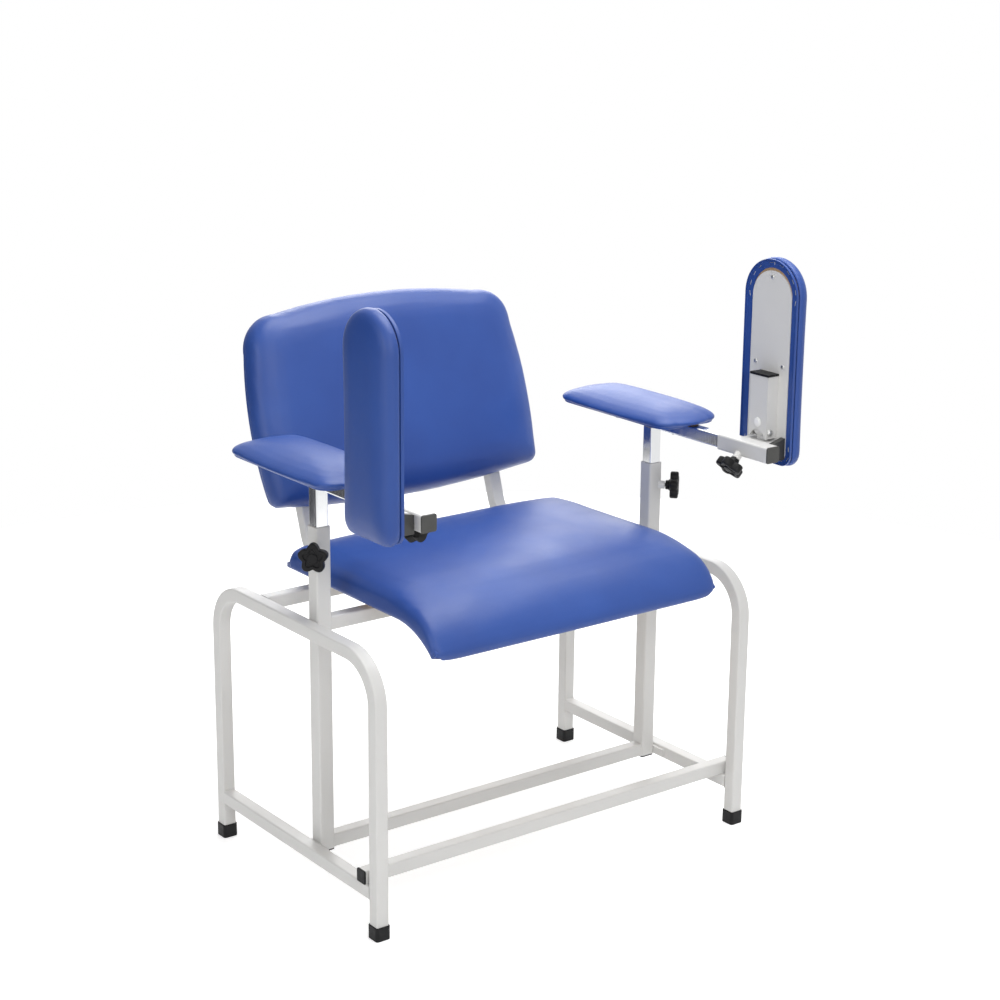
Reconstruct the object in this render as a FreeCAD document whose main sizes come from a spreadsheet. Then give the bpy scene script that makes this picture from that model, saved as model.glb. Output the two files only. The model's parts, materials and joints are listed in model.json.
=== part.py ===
import FreeCAD, Part
import math
import os
import re
import Sketcher

# Phlebotomy chair: a tall tubular steel frame with a wide upholstered seat and back,
# two armrests on telescopic posts, and a padded arm on each side that slides along the
# armrest's tube and flips over the sitter's lap.
#
# Millimetres, +Z up, floor at Z = 0. +X is the right-hand side of someone who faces the
# chair, and the sitter faces -Y. The origin is on the floor, in the middle of the space
# that the whole chair takes up.

document = FreeCAD.newDocument("phlebotomy_chair")
sheet = document.addObject("Spreadsheet::Sheet", "Sizes")

# Driving dimensions, all in millimetres except the angles in degrees
SIZES = {
    # Square steel tube of the frame
    "tube_size": 25,
    "tube_wall": 1.5,
    "tube_corner": 3,
    # Side frames, each an upside-down U, and the rails between them
    "legs_forward": 11.4,
    "leg_spread": 823,
    "leg_depth": 520,
    "frame_height": 513,
    "frame_bend": 80,
    "low_rail_height": 82.5,
    "stretcher_forward": 227,
    # Feet
    "foot_size": 29.5,
    "foot_height": 26,
    "foot_base": 4,
    "foot_round": 2.5,
    # Plastic end caps and the play of whatever is pushed into a tube
    "cap_flange": 3,
    "cap_plug": 9,
    "cap_round": 1.2,
    "push_play": 0.1,
    # Outer posts of the armrests
    "post_size": 30,
    "post_wall": 2,
    "post_corner": 4,
    "post_gap": 6,
    "post_forward": 30.5,
    "post_bottom": 75,
    "post_rise": 166,
    "spacer_length": 57,
    "spacer_height": 15,
    # Tubes under the seat and the two J-shaped bars that carry seat and back
    "rear_tube_back": 126,
    "bar_spread": 440,
    "bar_front": 140,
    "bar_bend": 60,
    "bar_rise": 390,
    "back_tilt": 18,
    # Seat: bent plywood board and cushion
    "seat_side_gap": 45,
    "seat_back_edge": 186,
    "seat_edge_height": 40,
    "seat_crown": 15,
    "seat_flat_front": 150,
    "seat_nose_front": 299,
    "seat_nose_height": 11,
    "seat_rear_round": 12,
    "seat_side_tuck": 14,
    "seat_hang": 6,
    "board_thickness": 12,
    "board_bend_front": 175,
    "board_bend": 153,
    "board_bend_angle": 44,
    "board_draw": 7,
    "cushion_gap": 0.3,
    # Back: board and cushion, measured up the slope from its lower corners
    "back_lower_rise": 104,
    "back_front_face": 212,
    "back_thickness": 55,
    "back_bottom_width": 608,
    "back_middle_width": 626,
    "back_shoulder_width": 598,
    "back_top_flat_width": 462,
    "back_shoulder": 293,
    "back_top_corner": 359,
    "back_height": 379,
    "back_bow": 18,
    "back_corner_round": 14,
    # Bolts through the bars into the seat board and the back board
    "bolt_radius": 3,
    "bolt_head_radius": 6,
    "bolt_head": 4,
    "bolt_play": 0.2,
    "bolt_bite": 8,
    "seat_bolt_front": 90,
    "seat_bolt_back": 60,
    "back_bolt_low": 120,
    "back_bolt_high": 300,
    # Telescopic inner post and the armrest's tube
    "slide_play": 0.5,
    "inner_wall": 1.5,
    "inner_corner": 3,
    "arm_post_length": 319.5,
    "arm_post_shown": 70.5,
    "arm_tube_front": 312,
    "arm_tube_rear": 140,
    # Armrest pad and its board
    "pad_inboard": 6,
    "pad_width": 158,
    "pad_length": 339,
    "pad_back": 178,
    "pad_height": 34,
    "pad_corner": 34,
    "pad_side_bulge": 6,
    "pad_end_bulge": 10,
    "arm_board_thickness": 10,
    "arm_board_draw": 6,
    "arm_screw_front": 95,
    "arm_screw_back": 70,
    # Star knobs, their studs and the welded bosses that the studs pass through
    "knob_radius": 27,
    "knob_height": 16,
    "knob_rim": 4,
    "knob_scallop": 9.5,
    "knob_scallop_out": 29.5,
    "knob_collar_radius": 9,
    "knob_collar": 9,
    "knob_stand": 38,
    "stud_radius": 4,
    "stud_play": 0.05,
    "stud_gap": 0.3,
    "boss_radius": 8,
    "boss_reach": 27.5,
    "height_knob_drop": 45,
    # Sleeve that slides along the armrest's tube; what it carries is set back from its front
    "sleeve_overhang": 48,
    "sleeve_length": 129,
    "reach_knob_set_back": 74,
    # Hinge block on the sleeve's outer side, its lug and the pivot
    "block_thickness": 33.5,
    "block_set_back": 18,
    "block_length": 80,
    "block_drop": 5,
    "block_shoulder": 11,
    "block_shoulder_rise": 5,
    "block_round": 2,
    "block_clearance": 0.7,
    "pivot_outboard": 17.5,
    "pin_radius": 4,
    "pin_play": 0.05,
    "pin_head_radius": 6.5,
    "pin_head": 4,
    "lug_radius": 7,
    "lug_length": 20,
    # Bracket of the flip-over arm, an upright U channel with its open side on the plate
    "bracket_set_back": 42,
    "bracket_length": 46,
    "bracket_depth": 26,
    "bracket_wall": 2,
    "bracket_rise": 104.8,
    "bracket_foot": 11,
    "arch_half_width": 19.5,
    "arch_rise": 15,
    "bracket_cap": 4,
    "bracket_cap_lip": 1,
    "button_radius": 8.5,
    "button_head": 2.2,
    "button_stem": 5,
    "button_up": 18,
    # Steel plate of the flip-over arm
    "plate_thickness": 2.5,
    "plate_width": 100,
    "plate_set_back": 18,
    "plate_drop": 18,
    "plate_height": 339,
    "plate_corner": 6,
    # Flip-over pad and the board inside it
    "flip_pad_width": 137,
    "flip_pad_drop": 34,
    "flip_pad_length": 378,
    "flip_pad_thickness": 30,
    "flip_pad_corner": 24,
    "flip_board_thickness": 10,
    "flip_board_draw": 6,
    "screw_radius": 2,
    "screw_head_radius": 4,
    "screw_head": 2,
    "screw_side": 35,
    "screw_top_drop": 11,
    "screw_low_rise": 168,
    # Length by which a cutting tool runs past what it cuts
    "overrun": 10,
}


def fill_sheet():
    for row, (name, value) in enumerate(SIZES.items(), start=1):
        sheet.set(f"A{row}", name)
        sheet.set(f"B{row}", str(value))
        sheet.setAlias(f"B{row}", name)
    document.recompute()


fill_sheet()

# Places worked out from the driving dimensions, as formulas
LEG_X = "(leg_spread / 2)"
LEG_Y = "(leg_depth / 2)"
RAIL_OUTER_X = f"({LEG_X} + tube_size / 2)"
RAIL_INNER_X = f"({LEG_X} - tube_size / 2)"
SEAT_TUBE_Z = "(frame_height - tube_size / 2)"
POST_OUTER_X = f"({RAIL_INNER_X} - post_gap)"
POST_X = f"({POST_OUTER_X} - post_size / 2)"
POST_INNER_X = f"({POST_OUTER_X} - post_size)"
POST_BORE = "(post_size - 2 * post_wall)"
SEAT_HALF = f"({POST_INNER_X} - seat_side_gap)"
POST_TOP_Z = "(frame_height + post_rise)"
KNOB_Z = f"({POST_TOP_Z} - height_knob_drop)"
BAR_X = "(bar_spread / 2)"
BAR_Z = "(frame_height + tube_size / 2)"
BOARD_Z = "(frame_height + tube_size)"
BACK_BASE_Y = "(back_front_face + back_thickness * cos(back_tilt))"
BACK_BASE_Z = f"({BOARD_Z} + back_lower_rise - back_thickness * sin(back_tilt))"
BAR_TO_BACK = f"(({BACK_BASE_Z} - {BAR_Z}) * sin(back_tilt) - tube_size / 2)"
BAR_CORNER_Y = f"({BACK_BASE_Y} - {BAR_TO_BACK} / cos(back_tilt))"
INNER_SIZE = f"({POST_BORE} - 2 * slide_play)"
ARM_BOTTOM_Z = f"({POST_TOP_Z} + arm_post_shown)"
ARM_Z = f"({ARM_BOTTOM_Z} + {INNER_SIZE} / 2)"
ARM_TOP_Z = f"({ARM_BOTTOM_Z} + {INNER_SIZE})"
SLEEVE_TOP_Z = f"({ARM_Z} + post_size / 2)"
SLEEVE_BOTTOM_Z = f"({ARM_Z} - post_size / 2)"
ARM_PAD_X = f"({POST_X} - pad_inboard)"
ARM_PAD_Y = "(pad_back - pad_length / 2)"
PLATE_INNER_X = f"({POST_OUTER_X} + block_thickness + stud_gap)"
FLIP_BOARD_X = f"({PLATE_INNER_X} + plate_thickness)"
BRACKET_INNER_X = f"({PLATE_INNER_X} - bracket_depth)"
PIVOT_X = f"({POST_OUTER_X} + pivot_outboard)"
SLEEVE_FRONT = "(arm_tube_front + sleeve_overhang)"
REACH_KNOB_Y = f"(reach_knob_set_back - {SLEEVE_FRONT})"
PIVOT_Y = f"(bracket_set_back + bracket_length / 2 - {SLEEVE_FRONT})"
WEB_REACH = f"({PIVOT_X} - {BRACKET_INNER_X})"
PLATE_REACH = f"({PLATE_INNER_X} - {PIVOT_X})"
PIVOT_Z = f"({SLEEVE_TOP_Z} + stud_gap + button_head + {WEB_REACH})"
FOOT_SWEEP = f"sqrt(bracket_foot * bracket_foot + {WEB_REACH} * {WEB_REACH})"
BLOCK_TOP = f"(-({FOOT_SWEEP} + block_clearance))"
PLATE_Y = f"(plate_set_back + plate_width / 2 - {SLEEVE_FRONT})"
PLATE_Z = f"({ARM_Z} - plate_drop)"
FLIP_PAD_Z = f"({ARM_Z} - flip_pad_drop)"
DIAGONAL = "sqrt(0.5)"
STUD_TIP = f"((({INNER_SIZE} / 2 - inner_corner) / {DIAGONAL}) + inner_corner + stud_gap)"

UP = FreeCAD.Vector(0, 0, 1)
BACKWARD = FreeCAD.Vector(0, 1, 0)
OUTWARD = FreeCAD.Vector(1, 0, 0)


# Formulas, sketches and placements

def linked(formula):
    """Write the sheet's name before each size in a formula."""
    return re.sub(r"\b([a-z]\w*)\b(?!\()", r"Sizes.\1", formula)


def mm(formula):
    """Work a formula out as a plain number."""
    return float(sheet.evalExpression(linked(formula)))


def bind(sketch, kind, *where, formula):
    """Add a dimension to a sketch and tie it to the sheet."""
    index = sketch.addConstraint(Sketcher.Constraint(kind, *where, mm(formula)))
    sketch.setExpression(f"Constraints[{index}]", linked(formula))


def set_size(feature, **formulas):
    """Tie the properties of a feature to the sheet."""
    for name, formula in formulas.items():
        feature.setExpression(name, linked(formula))


def place(piece, x="0", y="0", z="0", turn=None):
    """Put a piece at a place given from the middle of the four legs."""
    if turn is not None:
        piece.Placement.Rotation = turn
    piece.setExpression("Placement.Base.x", linked(x))
    piece.setExpression("Placement.Base.y", linked(f"{y} - legs_forward"))
    piece.setExpression("Placement.Base.z", linked(z))
    return piece


def new_body(label):
    body = document.addObject("PartDesign::Body", label)
    body.Label = label
    return body


def new_sketch(body, name, role, above="0"):
    """A sketch on one of the body's own planes, or at a height above it."""
    sketch = body.newObject("Sketcher::SketchObject", name)
    plane = next(item for item in body.Origin.OriginFeatures if item.Role == role)
    sketch.AttachmentSupport = [(plane, "")]
    sketch.MapMode = "FlatFace"
    sketch.setExpression("AttachmentOffset.Base.z", linked(above))
    return sketch


def point(across, up):
    return FreeCAD.Vector(mm(across), mm(up), 0)


def constrain(sketch, kind, *where):
    sketch.addConstraint(Sketcher.Constraint(kind, *where))


def rounded_rectangle(sketch, width, height, corner, across="0", up="0"):
    """Draw a rectangle with round corners about a centre."""
    left, right = f"({across} - {width} / 2)", f"({across} + {width} / 2)"
    low, high = f"({up} - {height} / 2)", f"({up} + {height} / 2)"
    side_ends = [
        (point(f"{left} + {corner}", low), point(f"{right} - {corner}", low)),
        (point(right, f"{low} + {corner}"), point(right, f"{high} - {corner}")),
        (point(f"{right} - {corner}", high), point(f"{left} + {corner}", high)),
        (point(left, f"{high} - {corner}"), point(left, f"{low} + {corner}")),
    ]
    centres = [
        point(f"{right} - {corner}", f"{low} + {corner}"),
        point(f"{right} - {corner}", f"{high} - {corner}"),
        point(f"{left} + {corner}", f"{high} - {corner}"),
        point(f"{left} + {corner}", f"{low} + {corner}"),
    ]
    sides = [sketch.addGeometry(Part.LineSegment(*ends)) for ends in side_ends]
    arcs = []
    for quarter, centre in enumerate(centres):
        begin = (quarter - 1) * math.pi / 2
        ring = Part.Circle(centre, UP, mm(corner))
        arcs.append(sketch.addGeometry(Part.ArcOfCircle(ring, begin, begin + math.pi / 2)))
    for side, arc, following in zip(sides, arcs, sides[1:] + sides[:1]):
        constrain(sketch, "Tangent", side, 2, arc, 1)
        constrain(sketch, "Tangent", arc, 2, following, 1)
    for kind, side in zip(("Horizontal", "Vertical") * 2, sides):
        constrain(sketch, kind, side)
    for arc in arcs[1:]:
        constrain(sketch, "Equal", arcs[0], arc)
    bind(sketch, "Radius", arcs[0], formula=corner)
    bind(sketch, "DistanceX", sides[3], 1, sides[1], 1, formula=width)
    bind(sketch, "DistanceY", sides[0], 1, sides[2], 1, formula=height)
    bind(sketch, "DistanceX", -1, 1, sides[3], 1, formula=left)
    bind(sketch, "DistanceY", -1, 1, sides[0], 1, formula=low)


def tombstone(sketch, width, low, high):
    """Draw an outline with a straight foot and a half-round top."""
    spring = f"({high} - {width} / 2)"
    half = f"({width} / 2)"
    foot = sketch.addGeometry(Part.LineSegment(point(f"-{half}", low), point(half, low)))
    right = sketch.addGeometry(Part.LineSegment(point(half, low), point(half, spring)))
    ring = Part.Circle(point("0", spring), UP, mm(half))
    top = sketch.addGeometry(Part.ArcOfCircle(ring, 0, math.pi))
    left = sketch.addGeometry(Part.LineSegment(point(f"-{half}", spring), point(f"-{half}", low)))
    constrain(sketch, "Coincident", foot, 2, right, 1)
    constrain(sketch, "Tangent", right, 2, top, 1)
    constrain(sketch, "Tangent", top, 2, left, 1)
    constrain(sketch, "Coincident", left, 2, foot, 1)
    constrain(sketch, "Horizontal", foot)
    constrain(sketch, "Vertical", right)
    constrain(sketch, "Vertical", left)
    bind(sketch, "DistanceX", foot, 1, foot, 2, formula=width)
    bind(sketch, "DistanceX", foot, 1, -1, 1, formula=half)
    bind(sketch, "DistanceY", -1, 1, foot, 1, formula=low)
    bind(sketch, "DistanceY", -1, 1, top, 3, formula=spring)


def circle(sketch, radius, across="0", up="0"):
    ring = sketch.addGeometry(Part.Circle(point(across, up), UP, mm(radius)))
    bind(sketch, "Radius", ring, formula=radius)
    bind(sketch, "DistanceX", -1, 1, ring, 3, formula=across)
    bind(sketch, "DistanceY", -1, 1, ring, 3, formula=up)


def polygon(sketch, corners):
    """Draw a closed outline whose corners are pairs of formulas."""
    places = [point(across, up) for across, up in corners]
    lines = []
    for start, end in zip(places, places[1:] + places[:1]):
        lines.append(sketch.addGeometry(Part.LineSegment(start, end)))
    for line, following in zip(lines, lines[1:] + lines[:1]):
        constrain(sketch, "Coincident", line, 2, following, 1)
    for line, (across, up) in zip(lines, corners):
        bind(sketch, "DistanceX", -1, 1, line, 1, formula=across)
        bind(sketch, "DistanceY", -1, 1, line, 1, formula=up)


def pad(body, sketch, length, side="One side", other="0", backward=False):
    """Add a sketch's area over a length, to one side, both sides or about its plane."""
    feature = body.newObject("PartDesign::Pad", f"{sketch.Name}_pad")
    feature.Profile = sketch
    feature.SideType = side
    feature.Reversed = backward
    set_size(feature, Length=length)
    if side == "Two sides":
        set_size(feature, Length2=other)
    document.recompute()
    return feature


def pocket(body, sketch, length, side="Symmetric", backward=False):
    """Cut a sketch's area out over a length, and see that something is cut."""
    before = body.Shape.Volume
    feature = body.newObject("PartDesign::Pocket", f"{sketch.Name}_pocket")
    feature.Profile = sketch
    feature.SideType = side
    feature.Reversed = backward
    set_size(feature, Length=length)
    document.recompute()
    if not feature.Shape.Volume < before:
        raise RuntimeError(f"{feature.Name} cuts nothing")
    return feature


def round_edges(body, radius, chosen):
    """Round the edges of a body's last feature that a test picks."""
    base = body.Tip
    names = [f"Edge{n}" for n, edge in enumerate(base.Shape.Edges, start=1) if chosen(edge)]
    fillet = body.newObject("PartDesign::Fillet", f"{base.Name}_round")
    fillet.Base = (base, names)
    set_size(fillet, Radius=radius)
    document.recompute()
    return fillet


def cylinder(name, radius, height):
    """A plain cylinder that stands on its own origin."""
    rod = document.addObject("Part::Cylinder", name)
    set_size(rod, Radius=radius, Height=height)
    return rod


def combined(kind, label, base, tool):
    """Join, cut or intersect two solids."""
    result = document.addObject(kind, label)
    result.Label = label
    result.Base = base
    result.Tool = tool
    return result


def group(label, pieces):
    """Gather separate identical solids into one sub-part."""
    result = document.addObject("Part::Compound", label)
    result.Label = label
    result.Links = pieces
    return result


def mirrored(label, piece):
    """The same piece on the other side of the chair."""
    result = document.addObject("Part::Mirroring", label)
    result.Label = label
    result.Source = piece
    result.Normal = OUTWARD
    return result


def copies(name, piece, places):
    """Repeat one piece at several places, each three formulas and a turn."""
    made = []
    for number, (x, y, z, turn) in enumerate(places, start=1):
        link = document.addObject("App::Link", f"{name}_{number}")
        link.LinkedObject = piece
        made.append(place(link, x, y, z, turn))
    return made


# Square tubes, caps and screws

PLANE_ACROSS = {"x": "YZ_Plane", "y": "XZ_Plane", "z": "XY_Plane"}
NO_TURN = FreeCAD.Rotation()
TO_RIGHT = FreeCAD.Rotation(UP, OUTWARD)
TO_LEFT = FreeCAD.Rotation(UP, -OUTWARD)
TO_FRONT = FreeCAD.Rotation(UP, -BACKWARD)
TO_REAR = FreeCAD.Rotation(UP, BACKWARD)
DOWN = FreeCAD.Rotation(OUTWARD, 180)


def bar(label, along, length, size, corner):
    """A straight square bar with round corners about the middle of its length."""
    body = new_body(label)
    sketch = new_sketch(body, f"{label}_section", PLANE_ACROSS[along])
    rounded_rectangle(sketch, size, size, corner)
    pad(body, sketch, length, "Symmetric")
    return body


def tube_section(sketch, size, wall, corner):
    """The outline and the bore of a square tube."""
    bore = f"({size} - 2 * {wall})"
    rounded_rectangle(sketch, size, size, corner)
    rounded_rectangle(sketch, bore, bore, f"({corner} - {wall})")


def tube(label, along, length, size="tube_size", wall="tube_wall", corner="tube_corner"):
    """A straight square tube about the middle of its length."""
    body = new_body(label)
    sketch = new_sketch(body, f"{label}_section", PLANE_ACROSS[along])
    tube_section(sketch, size, wall, corner)
    pad(body, sketch, length, "Symmetric")
    return body


def bent_tube(body, section, path):
    """Sweep a tube's section along the lines and bends of a path."""
    document.recompute()
    sweep = body.newObject("PartDesign::AdditivePipe", f"{body.Name}_sweep")
    sweep.Profile = section
    sweep.Spine = (path, [f"Edge{n}" for n in range(1, path.GeometryCount + 1)])
    document.recompute()


def cap(label, size, corner, bore, bore_corner):
    """A push-in cap: a flange on the XY plane and a plug that points down from it."""
    body = new_body(label)
    face = new_sketch(body, f"{label}_face", "XY_Plane")
    rounded_rectangle(face, size, size, corner)
    pad(body, face, "cap_flange")
    middle = mm("cap_flange / 2")
    round_edges(body, "cap_round", lambda edge: edge.BoundBox.ZMin > middle)
    plug = new_sketch(body, f"{label}_plug", "XY_Plane")
    width = f"({bore} - 2 * push_play)"
    rounded_rectangle(plug, width, width, bore_corner)
    pad(body, plug, "cap_plug", backward=True)
    return body


HEAD_TOP_SHARE = 0.6
HEAD_RIM_SHARE = 0.4


def screw(label, radius, length, head_radius, head):
    """A domed screw whose head lies under the XY plane and whose shank points up."""
    body = new_body(label)
    profile = new_sketch(body, f"{label}_profile", "XZ_Plane")
    polygon(profile, [
        ("0", f"-{head}"),
        (f"{head_radius} * {HEAD_TOP_SHARE}", f"-{head}"),
        (head_radius, f"-{head} * {HEAD_RIM_SHARE}"),
        (head_radius, "0"),
        (radius, "0"),
        (radius, length),
        ("0", length),
    ])
    turned = body.newObject("PartDesign::Revolution", f"{label}_turned")
    turned.Profile = profile
    turned.ReferenceAxis = (profile, ["V_Axis"])
    document.recompute()
    return body


# Side frames, rails and feet

def side_frame_path(sketch):
    """An upside-down U in the side view, with its legs' ends on the body's XY plane."""
    rise = "(frame_height - tube_size / 2 - foot_base)"
    low, flat = f"({rise} - frame_bend)", f"({LEG_Y} - frame_bend)"
    bend = mm("frame_bend")
    front_turn = Part.Circle(point(f"-{flat}", low), UP, bend)
    rear_turn = Part.Circle(point(flat, low), UP, bend)
    front = Part.LineSegment(point(f"-{LEG_Y}", "0"), point(f"-{LEG_Y}", low))
    top = Part.LineSegment(point(f"-{flat}", rise), point(flat, rise))
    rear = Part.LineSegment(point(LEG_Y, low), point(LEG_Y, "0"))
    sketch.addGeometry(front)
    sketch.addGeometry(Part.ArcOfCircle(front_turn, math.pi / 2, math.pi))
    sketch.addGeometry(top)
    sketch.addGeometry(Part.ArcOfCircle(rear_turn, 0, math.pi / 2))
    sketch.addGeometry(rear)
    constrain(sketch, "Tangent", 0, 2, 1, 2)
    constrain(sketch, "Tangent", 1, 1, 2, 1)
    constrain(sketch, "Tangent", 2, 2, 3, 2)
    constrain(sketch, "Tangent", 3, 1, 4, 1)
    constrain(sketch, "Vertical", 0)
    constrain(sketch, "Horizontal", 2)
    constrain(sketch, "Vertical", 4)
    bind(sketch, "Radius", 1, formula="frame_bend")
    bind(sketch, "Radius", 3, formula="frame_bend")
    bind(sketch, "DistanceX", -1, 1, 0, 1, formula=f"-{LEG_Y}")
    bind(sketch, "DistanceY", -1, 1, 0, 1, formula="0")
    bind(sketch, "DistanceX", -1, 1, 4, 2, formula=LEG_Y)
    bind(sketch, "DistanceY", -1, 1, 4, 2, formula="0")
    bind(sketch, "DistanceY", -1, 1, 2, 1, formula=rise)


def build_side_frame():
    body = new_body("side_frame_right")
    path = new_sketch(body, "side_frame_path", "YZ_Plane")
    side_frame_path(path)
    section = new_sketch(body, "side_frame_section", "XY_Plane")
    tube_section(section, "tube_size", "tube_wall", "tube_corner")
    section.setExpression("AttachmentOffset.Base.y", linked(f"-{LEG_Y}"))
    bent_tube(body, section, path)
    return place(body, x=LEG_X, z="foot_base")


def build_low_rail():
    rail = tube("low_rail_right", "y", "leg_depth - tube_size")
    return place(rail, x=LEG_X, z="low_rail_height")


def build_feet():
    """Ferrules, each a rounded cup that a leg's end stands in."""
    body = new_body("foot")
    outside = new_sketch(body, "foot_outside", "XY_Plane")
    rounded_rectangle(outside, "foot_size", "foot_size", "(tube_corner + foot_round)")
    pad(body, outside, "foot_height")
    top, flat = mm("foot_height"), mm("cap_round")

    def on_rim(edge):
        return edge.BoundBox.ZMax < flat or edge.BoundBox.ZMin > top - flat

    round_edges(body, "cap_round", on_rim)
    bore = "(tube_size + 2 * push_play)"
    inside = new_sketch(body, "foot_inside", "XY_Plane", above="foot_base")
    rounded_rectangle(inside, bore, bore, "(tube_corner + push_play)")
    pocket(body, inside, "foot_height", "One side", backward=True)
    places = [
        (f"{side}{LEG_X}", f"{end}{LEG_Y}", "0", NO_TURN)
        for side in ("", "-")
        for end in ("-", "")
    ]
    return group("feet", copies("foot_copy", body, places))


def build_cross_tubes():
    """The two low stretchers and the two tubes that carry the seat bars."""
    stretcher = tube("front_stretcher", "x", f"2 * {RAIL_OUTER_X}")
    place(stretcher, y="-stretcher_forward", z="low_rail_height + tube_size")
    middle = tube("middle_stretcher", "x", f"2 * {POST_INNER_X}")
    place(middle, y="-post_forward", z="post_bottom + tube_size / 2")
    front = tube("seat_tube_front", "x", f"2 * {POST_INNER_X}")
    place(front, y="-post_forward", z=SEAT_TUBE_Z)
    rear = tube("seat_tube_rear", "x", f"2 * {RAIL_INNER_X}")
    place(rear, y="rear_tube_back", z=SEAT_TUBE_Z)
    return [stretcher, middle, front, rear]


def build_spacers():
    """Steel pads welded between each post and the side frame beside it."""
    low = document.addObject("Part::Box", "spacer_low")
    set_size(low, Length="post_gap", Width="spacer_length", Height="spacer_height")
    place(low, POST_OUTER_X, "post_size / 2 - post_forward - spacer_length", "post_bottom")
    high = document.addObject("Part::Box", "spacer_high")
    set_size(high, Length="post_gap", Width="post_size", Height="spacer_height")
    place(high, POST_OUTER_X, "-(post_forward + post_size / 2)", f"{SEAT_TUBE_Z} - spacer_height / 2")
    others = [mirrored(f"{piece.Name}_left", piece) for piece in (low, high)]
    return group("post_spacers", [low, high] + others)


# Telescopic posts, armrest tube, sleeve and the knobs that clamp them

OUT_AND_FORWARD = FreeCAD.Rotation(UP, OUTWARD - BACKWARD)
IN_AND_DOWN = FreeCAD.Rotation(UP, -OUTWARD - UP)
OUT_AND_FORWARD_SIGNS = ("+", "-", "+ 0 *")
IN_AND_DOWN_SIGNS = ("-", "+ 0 *", "-")


def along_diagonal(centre, signs, reach):
    """The point at a given reach from a tube's axis towards one of its corners."""
    return [f"({start} {sign} {reach} * {DIAGONAL})" for start, sign in zip(centre, signs)]


def clamped_tube(label, along, length, centre, knob_at, signs, turn):
    """A guide tube with a boss on one corner, drilled there for a knob's stud."""
    outside = bar(f"{label}_outside", along, length, "post_size", "post_corner")
    run = f"({length} + 2 * overrun)"
    bore = bar(f"{label}_bore", along, run, POST_BORE, "(post_corner - post_wall)")
    place(outside, *centre)
    place(bore, *centre)
    boss = cylinder(f"{label}_boss", "boss_radius", "boss_reach - post_size / 2")
    place(boss, *along_diagonal(knob_at, signs, "post_size / 2"), turn)
    drill = cylinder(f"{label}_drill", "stud_radius + stud_play", "boss_reach")
    place(drill, *along_diagonal(knob_at, signs, "post_wall"), turn)
    joined = combined("Part::Fuse", f"{label}_joined", outside, boss)
    hollow = combined("Part::Cut", f"{label}_hollow", joined, bore)
    return combined("Part::Cut", label, hollow, drill)


def build_post():
    centre = (POST_X, "-post_forward", f"({POST_TOP_Z} + post_bottom) / 2")
    knob_at = (POST_X, "-post_forward", KNOB_Z)
    length = f"({POST_TOP_Z} - post_bottom)"
    signs, turn = OUT_AND_FORWARD_SIGNS, OUT_AND_FORWARD
    return clamped_tube("post_right", "z", length, centre, knob_at, signs, turn)


def build_post_plugs():
    plug = cap("post_plug", "post_size", "post_corner", POST_BORE, "(post_corner - post_wall)")
    places = [(f"{side}{POST_X}", "-post_forward", "post_bottom", DOWN) for side in ("", "-")]
    return group("post_plugs", copies("post_plug_copy", plug, places))


def build_tube_caps():
    """Caps in the ends of the front stretcher and of the two bars."""
    bore, corner = "(tube_size - 2 * tube_wall)", "(tube_corner - tube_wall)"
    body = cap("tube_cap", "tube_size", "tube_corner", bore, corner)
    stretcher = ("-stretcher_forward", "low_rail_height + tube_size")
    up_slope = FreeCAD.Rotation(OUTWARD, -mm("back_tilt"))
    places = [
        (RAIL_OUTER_X, *stretcher, TO_RIGHT),
        (f"-{RAIL_OUTER_X}", *stretcher, TO_LEFT),
    ]
    for side in ("", "-"):
        places.append((f"{side}{BAR_X}", "-bar_front", BAR_Z, TO_FRONT))
        places.append((
            f"{side}{BAR_X}",
            f"{BAR_CORNER_Y} + bar_rise * sin(back_tilt)",
            f"{BAR_Z} + bar_rise * cos(back_tilt)",
            up_slope,
        ))
    return group("tube_caps", copies("tube_cap_copy", body, places))


def build_arm_post():
    section = (INNER_SIZE, "inner_wall", "inner_corner")
    post = tube("arm_post_right", "z", "arm_post_length", *section)
    return place(post, POST_X, "-post_forward", f"{ARM_BOTTOM_Z} - arm_post_length / 2")


def build_arm_tube(screw_drills):
    length = "(arm_tube_front + arm_tube_rear)"
    body = tube("arm_tube", "y", length, INNER_SIZE, "inner_wall", "inner_corner")
    place(body, POST_X, "(arm_tube_rear - arm_tube_front) / 2", ARM_Z)
    return combined("Part::Cut", "arm_tube_right", body, screw_drills)


def build_arm_tube_cap():
    bore, corner = f"({INNER_SIZE} - 2 * inner_wall)", "(inner_corner - inner_wall)"
    body = cap("arm_tube_cap_right", INNER_SIZE, "inner_corner", bore, corner)
    return place(body, POST_X, "arm_tube_rear", ARM_Z, TO_REAR)


def build_sleeve():
    centre = (POST_X, f"sleeve_length / 2 - {SLEEVE_FRONT}", ARM_Z)
    knob_at = (POST_X, REACH_KNOB_Y, ARM_Z)
    signs, turn = IN_AND_DOWN_SIGNS, IN_AND_DOWN
    return clamped_tube("reach_sleeve_right", "y", "sleeve_length", centre, knob_at, signs, turn)


def build_sleeve_cap():
    body = cap("sleeve_cap_right", "post_size", "post_corner", POST_BORE, "(post_corner - post_wall)")
    return place(body, POST_X, f"-{SLEEVE_FRONT}", ARM_Z, TO_FRONT)


KNOB_LOBES = 5
FULL_TURN = 360


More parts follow.
